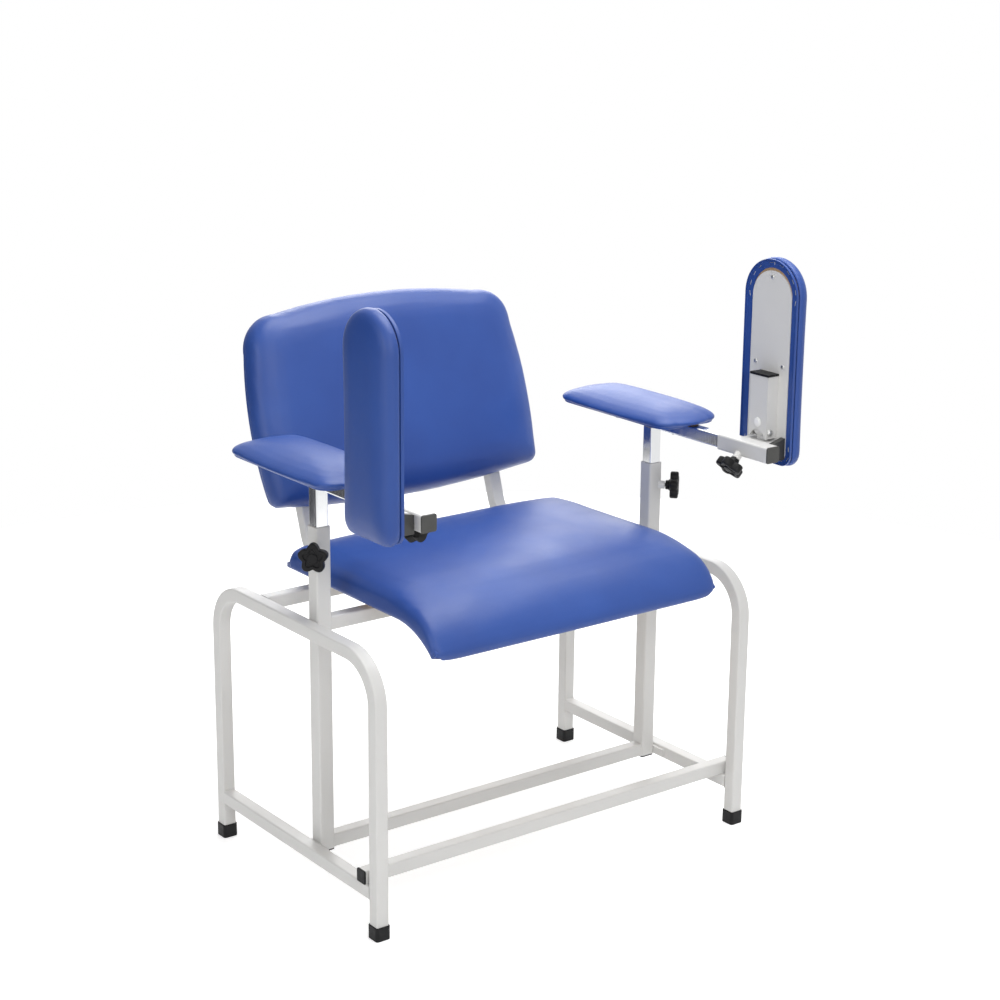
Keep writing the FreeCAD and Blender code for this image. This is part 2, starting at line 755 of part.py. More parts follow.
def knob(label):
    """A five-lobed star knob on its stud, along +Z from the axis of the clamped tube."""
    body = new_body(label)
    top = "(knob_stand + knob_height)"
    profile = new_sketch(body, f"{label}_profile", "XZ_Plane")
    polygon(profile, [
        ("0", STUD_TIP),
        ("stud_radius", STUD_TIP),
        ("stud_radius", "knob_stand - knob_collar"),
        ("knob_collar_radius", "knob_stand - knob_collar"),
        ("knob_collar_radius", "knob_stand"),
        ("knob_radius - knob_rim", "knob_stand"),
        ("knob_radius", "knob_stand + knob_rim"),
        ("knob_radius", f"{top} - knob_rim"),
        ("knob_radius - knob_rim", top),
        ("0", top),
    ])
    turned = body.newObject("PartDesign::Revolution", f"{label}_turned")
    turned.Profile = profile
    turned.ReferenceAxis = (profile, ["V_Axis"])
    document.recompute()
    hollow = new_sketch(body, f"{label}_scallop", "XY_Plane")
    circle(hollow, "knob_scallop", across="knob_scallop_out")
    scallop = pocket(body, hollow, f"2 * ({top} + overrun)")
    lobes = body.newObject("PartDesign::PolarPattern", f"{label}_lobes")
    lobes.Originals = [scallop]
    lobes.Axis = (hollow, ["N_Axis"])
    lobes.Angle = FULL_TURN
    lobes.Occurrences = KNOB_LOBES
    body.Tip = lobes
    document.recompute()
    return body


# Hinge block, pivot pin and the bracket that turns on it, each about the pivot's middle

def at_pivot(piece):
    return place(piece, PIVOT_X, PIVOT_Y, PIVOT_Z)


def build_hinge_block():
    """A block on the sleeve's outer side, with a lug for the pin and a front shoulder."""
    body = new_body("hinge_block_right")
    inner, outer = "(-pivot_outboard)", "(block_thickness - pivot_outboard)"
    bottom = f"({SLEEVE_BOTTOM_Z} - block_drop - {PIVOT_Z})"
    to_front = "(bracket_set_back + bracket_length / 2 - block_set_back)"
    base = new_sketch(body, "block_base", "XZ_Plane")
    polygon(base, [(inner, bottom), (outer, bottom), (outer, BLOCK_TOP), (inner, BLOCK_TOP)])
    pad(body, base, to_front, "Two sides", other=f"(block_length - {to_front})")
    low, short = mm(f"{bottom} + block_round"), mm("lug_length")

    def long_and_low(edge):
        return edge.BoundBox.ZMax < low and edge.BoundBox.YLength > short

    round_edges(body, "block_round", long_and_low)
    shoulder = new_sketch(body, "block_shoulder", "XZ_Plane", above=f"{to_front} - block_shoulder")
    top = f"({SLEEVE_TOP_Z} + block_shoulder_rise - {PIVOT_Z})"
    polygon(shoulder, [(inner, bottom), (outer, bottom), (outer, top), (inner, BLOCK_TOP)])
    pad(body, shoulder, "block_shoulder")
    shank = new_sketch(body, "lug_shank", "XZ_Plane")
    polygon(shank, [("0", BLOCK_TOP), ("lug_radius", BLOCK_TOP), ("lug_radius", "0"), ("0", "0")])
    pad(body, shank, "lug_length", "Symmetric")
    eye = new_sketch(body, "lug_eye", "XZ_Plane")
    circle(eye, "lug_radius")
    pad(body, eye, "lug_length", "Symmetric")
    bore = new_sketch(body, "lug_bore", "XZ_Plane")
    circle(bore, "pin_radius + pin_play")
    pocket(body, bore, "lug_length + 2 * overrun")
    return at_pivot(body)


def build_hinge_pin():
    """The pivot bolt: a round head in front, a shank, and a nut at the rear."""
    body = new_body("hinge_pin_right")
    shank = new_sketch(body, "pin_shank", "XZ_Plane")
    circle(shank, "pin_radius")
    pad(body, shank, "bracket_length", "Symmetric")
    for name, backward in (("pin_head", False), ("pin_nut", True)):
        end = new_sketch(body, name, "XZ_Plane", above=f"{'-' if backward else ''}bracket_length / 2")
        circle(end, "pin_head_radius")
        pad(body, end, "pin_head", backward=backward)
    return at_pivot(body)


def build_bracket():
    """An upright U channel with an arched foot that clears the lug when it flips."""
    body = new_body("flip_bracket_right")
    back, open_side, wall = f"(-{WEB_REACH})", PLATE_REACH, "bracket_wall"
    half = "(bracket_length / 2)"
    channel = new_sketch(body, "channel", "XY_Plane")
    polygon(channel, [
        (back, f"-{half}"),
        (open_side, f"-{half}"),
        (open_side, f"{wall} - {half}"),
        (f"{back} + {wall}", f"{wall} - {half}"),
        (f"{back} + {wall}", f"{half} - {wall}"),
        (open_side, f"{half} - {wall}"),
        (open_side, half),
        (back, half),
    ])
    pad(body, channel, "bracket_rise", "Two sides", other="bracket_foot")
    radius = "((arch_half_width * arch_half_width + arch_rise * arch_rise) / (2 * arch_rise))"
    arch = new_sketch(body, "arch", "YZ_Plane")
    circle(arch, radius, up=f"arch_rise - bracket_foot - {radius}")
    pocket(body, arch, "2 * (bracket_depth + overrun)")
    ears = new_sketch(body, "pin_holes", "XZ_Plane")
    circle(ears, "pin_radius + push_play")
    pocket(body, ears, "bracket_length + 2 * overrun")
    button = new_sketch(body, "button_hole", "YZ_Plane")
    circle(button, "button_stem + push_play", up="button_up")
    pocket(body, button, "2 * (bracket_depth + overrun)")
    return at_pivot(body)


def build_bracket_cap():
    body = new_body("bracket_cap_right")
    back, half = f"(-{WEB_REACH} - bracket_cap_lip)", "(bracket_length / 2 + bracket_cap_lip)"
    lid = new_sketch(body, "cap_lid", "XY_Plane", above="bracket_rise")
    polygon(lid, [(back, f"-{half}"), (PLATE_REACH, f"-{half}"), (PLATE_REACH, half), (back, half)])
    pad(body, lid, "bracket_cap")
    plug = new_sketch(body, "cap_tongue", "XY_Plane", above="bracket_rise")
    inset = "(bracket_wall + push_play)"
    near, far = f"({inset} - {WEB_REACH})", f"({PLATE_REACH} - push_play)"
    side = f"(bracket_length / 2 - {inset})"
    polygon(plug, [(near, f"-{side}"), (far, f"-{side}"), (far, side), (near, side)])
    pad(body, plug, "cap_plug", backward=True)
    return at_pivot(body)


def build_button():
    """A plastic button in the bracket, which lands on the sleeve when the arm is down."""
    body = screw("flip_button_right", "button_stem", "bracket_wall", "button_radius", "button_head")
    return place(body, BRACKET_INNER_X, PIVOT_Y, f"{PIVOT_Z} + button_up", TO_RIGHT)


# Flip-over arm: steel plate, board inside the pad, and their screws
# In the plate's and the board's own frame X runs back, Y up and Z outward.

SIDEWAYS = FreeCAD.Rotation(BACKWARD, UP, OUTWARD, "XYZ")


def screw_places():
    """The three screws of the plate, one at the top and two above the bracket."""
    rise = f"({PLATE_Z} + screw_low_rise)"
    return [
        (PLATE_Y, f"{PLATE_Z} + plate_height - screw_top_drop"),
        (f"({PLATE_Y} - screw_side)", rise),
        (f"({PLATE_Y} + screw_side)", rise),
    ]


def build_plate_screws():
    length = "(plate_thickness + flip_board_thickness / 2)"
    body = screw("plate_screw", "screw_radius", length, "screw_head_radius", "screw_head")
    places = [(PLATE_INNER_X, y, z, TO_RIGHT) for y, z in screw_places()]
    screws = group("plate_screws_right", copies("plate_screw_copy", body, places))
    rod = cylinder("plate_screw_drill", "screw_radius + push_play", f"2 * {length}")
    places = [(f"{PLATE_INNER_X} - {length}", y, z, TO_RIGHT) for y, z in screw_places()]
    drills = group("plate_screw_drills", copies("plate_screw_drill_copy", rod, places))
    return screws, drills


def at_foot(edge, thickness, low):
    """Whether an edge of a flat board is one of the short ones at its straight foot."""
    box = edge.BoundBox
    short = box.ZLength > thickness / 2 and box.XLength + box.YLength < thickness
    return short and box.YMax < low


def build_plate(drills):
    body = new_body("flip_plate")
    outline = new_sketch(body, "plate_outline", "XY_Plane")
    tombstone(outline, "plate_width", "0", "plate_height")
    pad(body, outline, "plate_thickness")
    thick, low = mm("plate_thickness"), mm("plate_corner")
    round_edges(body, "plate_corner", lambda edge: at_foot(edge, thick, low))
    place(body, PLATE_INNER_X, PLATE_Y, PLATE_Z, SIDEWAYS)
    return combined("Part::Cut", "flip_plate_right", body, drills)


def flip_board(label, draw, thickness, below="0"):
    """The plywood board of the flip-over pad, or with less draw the room that it fills."""
    body = new_body(label)
    outline = new_sketch(body, f"{label}_outline", "XY_Plane")
    tombstone(outline, f"(flip_pad_width - 2 * {draw})", draw, f"(flip_pad_length - {draw})")
    pad(body, outline, thickness, "Two sides", other=below)
    thick, low = mm(thickness), mm("flip_pad_corner")
    round_edges(body, f"(flip_pad_corner - {draw})", lambda edge: at_foot(edge, thick, low))
    return place(body, FLIP_BOARD_X, PLATE_Y, FLIP_PAD_Z, SIDEWAYS)


# Cushions, each a loft through outlines or sections of equal make

def vector(across, along, height):
    return FreeCAD.Vector(across, along, height)


def arc(start, middle, end):
    return Part.Arc(start, middle, end).toShape()


def line(start, end):
    return Part.LineSegment(start, end).toShape()


def loft(label, outlines):
    """A solid through closed outlines, straight from each one to the next."""
    cushion = document.addObject("Part::Feature", label)
    cushion.Label = label
    cushion.Shape = Part.makeLoft([Part.Wire(outline) for outline in outlines], True, True)
    return cushion


# Share of a pad's thickness and share of its half width drawn in there
PAD_LEVEL_SHARES = (
    (0, 0.05),
    (0.12, 0),
    (0.38, 0),
    (0.6, 0.06),
    (0.78, 0.18),
    (0.9, 0.36),
    (0.97, 0.58),
    (1, 0.8),
)


def pad_outline(height, draw):
    """A barrel-shaped plan with bulging sides and round corners."""
    half, reach = mm("pad_width / 2") - draw, mm("pad_length / 2") - draw
    side, end = half - mm("pad_side_bulge"), reach - mm("pad_end_bulge")
    radius = mm("pad_corner") * side / mm("pad_width / 2")
    inset = radius * (1 - mm(DIAGONAL))

    def corner(x_sign, y_sign):
        return (
            vector(x_sign * side, y_sign * (end - radius), height),
            vector(x_sign * (side - inset), y_sign * (end - inset), height),
            vector(x_sign * (side - radius), y_sign * end, height),
        )

    rear_right, rear_left = corner(1, 1), corner(-1, 1)
    front_right, front_left = corner(1, -1), corner(-1, -1)
    return [
        arc(front_right[0], vector(half, 0, height), rear_right[0]),
        arc(*rear_right),
        arc(rear_right[2], vector(0, reach, height), rear_left[2]),
        arc(*reversed(rear_left)),
        arc(rear_left[0], vector(-half, 0, height), front_left[0]),
        arc(*front_left),
        arc(front_left[2], vector(0, -reach, height), front_right[2]),
        arc(*reversed(front_right)),
    ]


def arm_board(label, draw, thickness, below="0"):
    body = new_body(label)
    outline = new_sketch(body, f"{label}_outline", "XY_Plane")
    width = f"(pad_width - 2 * pad_side_bulge - 2 * {draw})"
    length = f"(pad_length - 2 * pad_end_bulge - 2 * {draw})"
    rounded_rectangle(outline, width, length, f"(pad_corner - {draw})")
    pad(body, outline, thickness, "Two sides", other=below)
    return place(body, ARM_PAD_X, ARM_PAD_Y, ARM_TOP_Z)


def build_arm_pad():
    """The armrest's board, and the vinyl cushion that wraps over its edges."""
    board = arm_board("arm_board", "arm_board_draw", "arm_board_thickness")
    room = arm_board(
        "arm_board_room",
        "(arm_board_draw - cushion_gap)",
        "(arm_board_thickness + cushion_gap)",
        below="overrun",
    )
    thickness, half = mm("pad_height"), mm("pad_width / 2")
    outlines = [pad_outline(share * thickness, draw * half) for share, draw in PAD_LEVEL_SHARES]
    foam = place(loft("arm_pad_foam", outlines), ARM_PAD_X, ARM_PAD_Y, f"{ARM_TOP_Z} + cushion_gap")
    return board, combined("Part::Cut", "arm_pad_right", foam, room)


FLIP_LEVEL_SHARES = (
    (0, 0.06),
    (0.12, 0),
    (0.45, 0),
    (0.66, 0.04),
    (0.82, 0.12),
    (0.93, 0.26),
    (1, 0.5),
)


def flip_outline(height, draw):
    """A straight foot with round corners below a half-round top."""
    half = mm("flip_pad_width / 2") - draw
    top = mm("flip_pad_length") - draw
    spring = top - half
    radius = mm("flip_pad_corner") * half / mm("flip_pad_width / 2")
    inset, slant = radius * (1 - mm(DIAGONAL)), half * mm(DIAGONAL)
    return [
        line(vector(radius - half, draw, height), vector(half - radius, draw, height)),
        arc(
            vector(half - radius, draw, height),
            vector(half - inset, draw + inset, height),
            vector(half, draw + radius, height),
        ),
        line(vector(half, draw + radius, height), vector(half, spring, height)),
        arc(
            vector(half, spring, height),
            vector(slant, spring + slant, height),
            vector(0, top, height),
        ),
        arc(
            vector(0, top, height),
            vector(-slant, spring + slant, height),
            vector(-half, spring, height),
        ),
        line(vector(-half, spring, height), vector(-half, draw + radius, height)),
        arc(
            vector(-half, draw + radius, height),
            vector(inset - half, draw + inset, height),
            vector(radius - half, draw, height),
        ),
    ]


def build_flip_pad(drills):
    board = flip_board("flip_board", "flip_board_draw", "flip_board_thickness")
    board = combined("Part::Cut", "flip_board_right", board, drills)
    room = flip_board(
        "flip_board_room",
        "(flip_board_draw - cushion_gap)",
        "(flip_board_thickness + cushion_gap)",
        below="overrun",
    )
    thickness, half = mm("flip_pad_thickness - cushion_gap"), mm("flip_pad_width / 2")
    outlines = [flip_outline(share * thickness, draw * half) for share, draw in FLIP_LEVEL_SHARES]
    foam = loft("flip_pad_foam", outlines)
    place(foam, f"{FLIP_BOARD_X} + cushion_gap", PLATE_Y, FLIP_PAD_Z, SIDEWAYS)
    return board, combined("Part::Cut", "flip_pad_right", foam, room)


# Seat: two bars, bent board and waterfall cushion

def build_bar(drills):
    """A J-shaped bar: level under the seat, then bent up the slope behind the back."""
    body = new_body("back_bar")
    path = new_sketch(body, "bar_path", "YZ_Plane")
    turn = mm("90 - back_tilt")
    setback = "bar_bend * tan((90 - back_tilt) / 2)"
    bend_start = f"({BAR_CORNER_Y} - {setback})"
    rise_x = f"({BAR_CORNER_Y} + {setback} * sin(back_tilt))"
    rise_y = f"({setback} * cos(back_tilt))"
    end_x = f"({BAR_CORNER_Y} + bar_rise * sin(back_tilt))"
    end_y = "(bar_rise * cos(back_tilt))"
    ring = Part.Circle(point(bend_start, "bar_bend"), UP, mm("bar_bend"))
    start = -math.pi / 2
    path.addGeometry(Part.LineSegment(point("-bar_front", "0"), point(bend_start, "0")))
    path.addGeometry(Part.ArcOfCircle(ring, start, start + math.radians(turn)))
    path.addGeometry(Part.LineSegment(point(rise_x, rise_y), point(end_x, end_y)))
    constrain(path, "Tangent", 0, 2, 1, 1)
    constrain(path, "Tangent", 1, 2, 2, 1)
    constrain(path, "Horizontal", 0)
    bind(path, "Radius", 1, formula="bar_bend")
    bind(path, "DistanceX", -1, 1, 0, 1, formula="-bar_front")
    bind(path, "DistanceY", -1, 1, 0, 1, formula="0")
    bind(path, "DistanceX", -1, 1, 0, 2, formula=bend_start)
    bind(path, "DistanceX", -1, 1, 2, 2, formula=end_x)
    bind(path, "DistanceY", -1, 1, 2, 2, formula=end_y)
    section = new_sketch(body, "bar_section", "XZ_Plane", above="bar_front")
    tube_section(section, "tube_size", "tube_wall", "tube_corner")
    bent_tube(body, section, path)
    place(body, BAR_X, "0", BAR_Z)
    return combined("Part::Cut", "back_bar_right", body, drills)


def bent_board(label, draw, thickness, below="0"):
    """The plywood seat board in the side view: flat, then bent down under the knees."""
    body = new_body(label)
    profile = new_sketch(body, f"{label}_profile", "YZ_Plane")
    rear = f"(seat_back_edge - {draw})"
    bend = "(-board_bend_front)"
    inner, outer = f"(board_bend - {below})", f"(board_bend + {thickness})"
    angle = "board_bend_angle"
    low, high = f"(-({below}))", thickness
    centre = "(-board_bend)"

    def on_bend(radius):
        return f"({bend} - {radius} * sin({angle}))", f"({centre} + {radius} * cos({angle}))"

    under_end, over_end = on_bend(inner), on_bend(outer)
    half_turn, sweep = math.pi / 2, math.radians(mm(angle))
    under_ring = Part.Circle(point(bend, centre), UP, mm(inner))
    over_ring = Part.Circle(point(bend, centre), UP, mm(outer))
    under = profile.addGeometry(Part.LineSegment(point(rear, low), point(bend, low)))
    under_arc = profile.addGeometry(Part.ArcOfCircle(under_ring, half_turn, half_turn + sweep))
    front = profile.addGeometry(Part.LineSegment(point(*under_end), point(*over_end)))
    over_arc = profile.addGeometry(Part.ArcOfCircle(over_ring, half_turn, half_turn + sweep))
    over = profile.addGeometry(Part.LineSegment(point(bend, high), point(rear, high)))
    back = profile.addGeometry(Part.LineSegment(point(rear, high), point(rear, low)))
    constrain(profile, "Coincident", under, 2, under_arc, 1)
    constrain(profile, "Coincident", under_arc, 2, front, 1)
    constrain(profile, "Coincident", front, 2, over_arc, 2)
    constrain(profile, "Coincident", over_arc, 1, over, 1)
    constrain(profile, "Coincident", over, 2, back, 1)
    constrain(profile, "Coincident", back, 2, under, 1)
    places = [
        (under, 1, (rear, low)),
        (under, 2, (bend, low)),
        (over, 1, (bend, high)),
        (over, 2, (rear, high)),
        (front, 1, under_end),
        (front, 2, over_end),
    ]
    for element, end, (across, up) in places:
        bind(profile, "DistanceX", -1, 1, element, end, formula=across)
        bind(profile, "DistanceY", -1, 1, element, end, formula=up)
    bind(profile, "Radius", under_arc, formula=inner)
    bind(profile, "Radius", over_arc, formula=outer)
    pad(body, profile, f"2 * ({SEAT_HALF} - {draw})", "Symmetric")
    return place(body, z=BOARD_Z)


# Shares of the half width, of the crown, of the tuck at the sides and of the hang there
SEAT_SECTION_SHARES = (
    (0, 1, 0, 0),
    (0.25, 0.96, 0, 0),
    (0.5, 0.84, 0, 0),
    (0.7, 0.66, 0, 0),
    (0.84, 0.45, 0.02, 0),
    (0.92, 0.28, 0.1, 0.3),
    (0.96, 0.16, 0.26, 0.7),
    (0.985, 0.08, 0.52, 1),
    (1, 0.05, 1, 0.8),
)
# Share of the way from the flat top to the nose, share of the nose's drop
NOSE_TOP_SHARES = ((0.3, 0.07), (0.6, 0.2), (0.87, 0.52))
LIP_MIDDLE_SHARES = (0.75, 0.25)
TUCK_UNDER_SHARE = 0.45
CROWN_FRONT_SHARE = 0.7
CROWN_MIDDLE_SHARE = 0.35


def seat_section(x, crown, tuck, hang):
    """One slice of the seat cushion in the side view, drawn in by a tuck and hung lower."""
    bottom = tuck * TUCK_UNDER_SHARE - hang
    top = mm("seat_edge_height") - tuck
    rear, front = mm("seat_back_edge") - tuck, tuck - mm("seat_nose_front")
    flat_end = -mm("seat_flat_front")
    bend_y, bend_z = -mm("board_bend_front"), -mm("board_bend")
    radius = mm("board_bend") + bottom
    rise = crown * mm("seat_crown")
    front_top = top + rise * CROWN_FRONT_SHARE
    lip_height = mm("seat_nose_height") - bottom
    angle = math.asin((bend_y - front - lip_height) / radius)

    def on_bend(turn):
        return vector(x, bend_y - radius * math.sin(turn), bend_z + radius * math.cos(turn))

    under_end = on_bend(angle)
    lip = vector(x, front, under_end.z + lip_height)

    def on_nose(run, drop):
        return vector(x, flat_end + run * (front - flat_end), front_top + drop * (lip.z - front_top))

    def on_lip(run, climb):
        return vector(x, under_end.y + run * (front - under_end.y), under_end.z + climb * lip_height)

    rear_low, rear_high = vector(x, rear, bottom), vector(x, rear - mm("seat_rear_round"), top)
    crown_y = flat_end + (rear - flat_end) * CROWN_MIDDLE_SHARE
    slope = on_nose(*NOSE_TOP_SHARES[1])
    return [
        line(rear_low, vector(x, bend_y, bottom)),
        arc(vector(x, bend_y, bottom), on_bend(angle / 2), under_end),
        arc(under_end, on_lip(*LIP_MIDDLE_SHARES), lip),
        arc(lip, on_nose(*NOSE_TOP_SHARES[2]), slope),
        arc(slope, on_nose(*NOSE_TOP_SHARES[0]), vector(x, flat_end, front_top)),
        arc(vector(x, flat_end, front_top), vector(x, crown_y, top + rise), rear_high),
        arc(rear_high, vector(x, rear, (top + bottom) / 2), rear_low),
    ]


def build_seat():
    """The seat's board and its cushion, crowned, drawn in at the sides and rolled in front."""
    board = bent_board("seat_board_blank", "board_draw", "board_thickness")
    room = bent_board(
        "seat_board_room",
        "(board_draw - cushion_gap)",
        "(board_thickness + cushion_gap)",
        below="overrun",
    )
    half, tuck = mm(SEAT_HALF), mm("seat_side_tuck")
    mirrored_shares = [(-share, *rest) for share, *rest in reversed(SEAT_SECTION_SHARES[1:])]
    sections = [
        seat_section(share * half, crown, drawn * tuck, lower * mm("seat_hang"))
        for share, crown, drawn, lower in mirrored_shares + list(SEAT_SECTION_SHARES)
    ]
    foam = place(loft("seat_foam", sections), z=f"{BOARD_Z} + cushion_gap")
    return board, combined("Part::Cut", "seat_cushion", foam, room)


# Back: board and cushion on the slope of the bars
# In the back's own frame X runs right, Y up the slope and Z towards the sitter.

UP_THE_SLOPE = FreeCAD.Rotation(OUTWARD, 90 - mm("back_tilt"))
BACK_LEVEL_SHARES = (
    (0, 0.025),
    (0.1, 0),
    (0.5, 0),
    (0.7, 0.012),
    (0.84, 0.04),
    (0.94, 0.1),
    (0.985, 0.18),
    (1, 0.28),
)


def on_back(up, out):
    """The place of a point given up the slope and out from the rear of the back."""
    return (
        f"({BACK_BASE_Y} + {up} * sin(back_tilt) - {out} * cos(back_tilt))",
        f"({BACK_BASE_Z} + {up} * cos(back_tilt) + {out} * sin(back_tilt))",
    )


def back_outline(height, draw):
    """The back seen from the front: bowed foot, bulging sides, arched top."""
    corner = mm("back_corner_round")
    foot, middle = mm("back_bottom_width / 2") - draw, mm("back_middle_width / 2") - draw
    shoulder, flat = mm("back_shoulder_width / 2") - draw, mm("back_top_flat_width / 2") - draw / 2
    shoulder_up, corner_up = mm("back_shoulder") - draw / 2, mm("back_top_corner") - draw
    top, bow = mm("back_height") - draw, mm("back_bow") - draw
    bulge_up = (shoulder_up + corner) / 2
    inset = corner * (1 - mm(DIAGONAL))
    elbow_x = flat + (shoulder - flat) * mm(DIAGONAL)
    elbow_y = shoulder_up + (corner_up - shoulder_up) * mm(DIAGONAL)

    def half_outline(sign):
        return [
            vector(sign * (foot - corner), draw, height),
            vector(sign * (foot - inset), draw + inset, height),
            vector(sign * foot, draw + corner, height),
            vector(sign * middle, bulge_up, height),
            vector(sign * shoulder, shoulder_up, height),
            vector(sign * elbow_x, elbow_y, height),
            vector(sign * flat, corner_up, height),
        ]

    right, left = half_outline(1), half_outline(-1)
    return [
        arc(left[0], vector(0, -bow, height), right[0]),
        arc(right[0], right[1], right[2]),
        arc(right[2], right[3], right[4]),
        arc(right[4], right[5], right[6]),
        arc(right[6], vector(0, top, height), left[6]),
        arc(left[6], left[5], left[4]),
        arc(left[4], left[3], left[2]),
        arc(left[2], left[1], left[0]),
    ]


def back_slab(label, draw, thickness, start=0):
    """A flat board with the back's outline, or the room that it fills."""
    slab = document.addObject("Part::Feature", label)
    slab.Label = label
    face = Part.Face(Part.Wire(back_outline(start, draw)))
    slab.Shape = face.extrude(vector(0, 0, thickness - start))
    return place(slab, "0", *on_back("0", "0"), UP_THE_SLOPE)


def build_back():
    board = back_slab("back_board_blank", mm("board_draw"), mm("board_thickness"))
    room = back_slab(
        "back_board_room",
        mm("board_draw - cushion_gap"),
        mm("board_thickness + cushion_gap"),
        -mm("overrun"),
    )
    thickness, half = mm("back_thickness"), mm("back_middle_width / 2")
    outlines = [back_outline(share * thickness, draw * half) for share, draw in BACK_LEVEL_SHARES]
    foam = place(loft("back_foam", outlines), "0", *on_back("0", "0"), UP_THE_SLOPE)
    return board, combined("Part::Cut", "back_cushion", foam, room)


# Bolts up through the seat bars, through the uprights, and up through the armrest tubes

def bolt_places(grow="0"):
    """Where the seat's and back's bolts lie, with their heads drawn back by a length."""
    toward_sitter = FreeCAD.Rotation(OUTWARD, 90 - mm("back_tilt"))
    places = []
    for side in ("", "-"):
        for y in ("-seat_bolt_front", "seat_bolt_back"):
            places.append((f"{side}{BAR_X}", y, f"frame_height - {grow}", NO_TURN))
        for up in ("back_bolt_low", "back_bolt_high"):
            places.append((f"{side}{BAR_X}", *on_back(up, f"(-(tube_size + {grow}))"), toward_sitter))
    return places


def arm_screw_places(grow="0"):
    return [
        (POST_X, y, f"{ARM_BOTTOM_Z} - {grow}", NO_TURN)
        for y in ("-arm_screw_front", "arm_screw_back")
    ]


def build_bolts():
    """The frame's bolts, the armrest's bolts and the drills for both."""
    bolt = screw("bolt", "bolt_radius", "(tube_size + bolt_bite)", "bolt_head_radius", "bolt_head")
    reach = "tube_size + bolt_bite + bolt_play + overrun"
    rod = cylinder("bolt_drill", "bolt_radius + bolt_play", reach)
    frame_bolts = group("cushion_bolts", copies("cushion_bolt", bolt, bolt_places()))
    frame_drills = group("cushion_drills", copies("cushion_drill", rod, bolt_places("overrun")))
    arm_bolts = group("arm_bolts_right", copies("arm_bolt", bolt, arm_screw_places()))
    arm_drills = group("arm_drills", copies("arm_drill", rod, arm_screw_places("overrun")))
    return frame_bolts, frame_drills, arm_bolts, arm_drills


# The whole chair: pieces in the middle, and pieces on the right with their twins

cushion_bolts, cushion_drills, arm_bolts, arm_drills = build_bolts()
seat_blank, seat_cushion = build_seat()
back_blank, back_cushion = build_back()
seat_board = combined("Part::Cut", "seat_board", seat_blank, cushion_drills)
back_board = combined("Part::Cut", "back_board", back_blank, cushion_drills)
plate_screws, screw_drills = build_plate_screws()
arm_blank, arm_pad = build_arm_pad()
arm_board_right = combined("Part::Cut", "arm_board_right", arm_blank, arm_drills)
flip_board_right, flip_pad = build_flip_pad(screw_drills)

middle_pieces = build_cross_tubes() + [
    build_spacers(),
    build_feet(),
    build_post_plugs(),
    build_tube_caps(),
    seat_board,
    seat_cushion,
    back_board,
    back_cushion,
    cushion_bolts,
]

height_knob = knob("height_knob_right")
place(height_knob, POST_X, "-post_forward", KNOB_Z, OUT_AND_FORWARD)
reach_knob = knob("reach_knob_right")
place(reach_knob, POST_X, REACH_KNOB_Y, ARM_Z, IN_AND_DOWN)

right_pieces = [
    build_side_frame(),
    build_low_rail(),
    build_bar(cushion_drills),
    build_post(),
    build_arm_post(),
    build_arm_tube(arm_drills),
    build_arm_tube_cap(),
    arm_board_right,
    arm_pad,
    arm_bolts,
    height_knob,
    build_sleeve(),
    build_sleeve_cap(),
    build_hinge_block(),
    reach_knob,
    build_bracket(),
    build_bracket_cap(),
    build_button(),
    build_plate(screw_drills),
    flip_board_right,
    flip_pad,
    plate_screws,
    build_hinge_pin(),
]
left_pieces = [mirrored(piece.Label.replace("_right", "_left"), piece) for piece in right_pieces]
document.recompute()

for item in document.Objects:
    if "Invalid" in item.State or "Error" in item.State:
        raise RuntimeError(f"{item.Label} did not recompute: {item.State}")

os.makedirs("parts", exist_ok=True)
for piece in middle_pieces + right_pieces + left_pieces:
    shape = piece.Shape
    if shape.isNull() or not shape.isValid() or shape.Volume <= 0:
        raise RuntimeError(f"{piece.Label} has no valid solid")
    shape.exportStep(os.path.join("parts", f"{piece.Label}.step"))
    print(f"{piece.Label}: {len(shape.Solids)} solid(s), {shape.Volume / 1000:.1f} cm3")
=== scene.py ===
# %% [markdown]
# # A phlebotomy chair
#
# This lesson dresses a clinic chair for taking blood. Its steel frame, hinges and boards
# come from a CAD model at their real size, and we leave those shapes alone. What we add is
# what CAD is poor at: vinyl drawn tight over foam, moulded star knobs, screws, welds,
# staples, and a finish for every surface.

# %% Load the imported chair
import json
import math
import bmesh
import bpy
from mathutils import Matrix, Vector
from mathutils.bvhtree import BVHTree


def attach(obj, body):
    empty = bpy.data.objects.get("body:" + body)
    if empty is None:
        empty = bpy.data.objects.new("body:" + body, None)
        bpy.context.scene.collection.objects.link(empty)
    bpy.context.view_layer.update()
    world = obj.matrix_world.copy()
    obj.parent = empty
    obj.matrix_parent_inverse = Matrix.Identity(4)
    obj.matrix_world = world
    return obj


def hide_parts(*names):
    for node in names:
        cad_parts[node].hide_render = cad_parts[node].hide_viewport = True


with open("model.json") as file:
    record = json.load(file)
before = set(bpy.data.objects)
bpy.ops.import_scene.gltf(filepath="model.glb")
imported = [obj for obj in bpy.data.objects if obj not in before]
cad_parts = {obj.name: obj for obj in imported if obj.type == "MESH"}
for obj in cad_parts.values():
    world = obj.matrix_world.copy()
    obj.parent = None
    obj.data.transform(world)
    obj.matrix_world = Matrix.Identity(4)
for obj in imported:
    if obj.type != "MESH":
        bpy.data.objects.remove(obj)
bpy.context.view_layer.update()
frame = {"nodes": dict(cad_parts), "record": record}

nodes = frame["nodes"]
scene = bpy.context.scene
SIDES = {"right": 1, "left": -1}
MM = 0.001

# %% [markdown]
# ## The camera
#
# The picture was taken from the front and a little to the left of the chair, from about
# head height. We could look for that view by eye, but lines that are level or upright on
# the real frame give it more surely: the place, the three turns and the lens below put each
# of them where the picture has it.

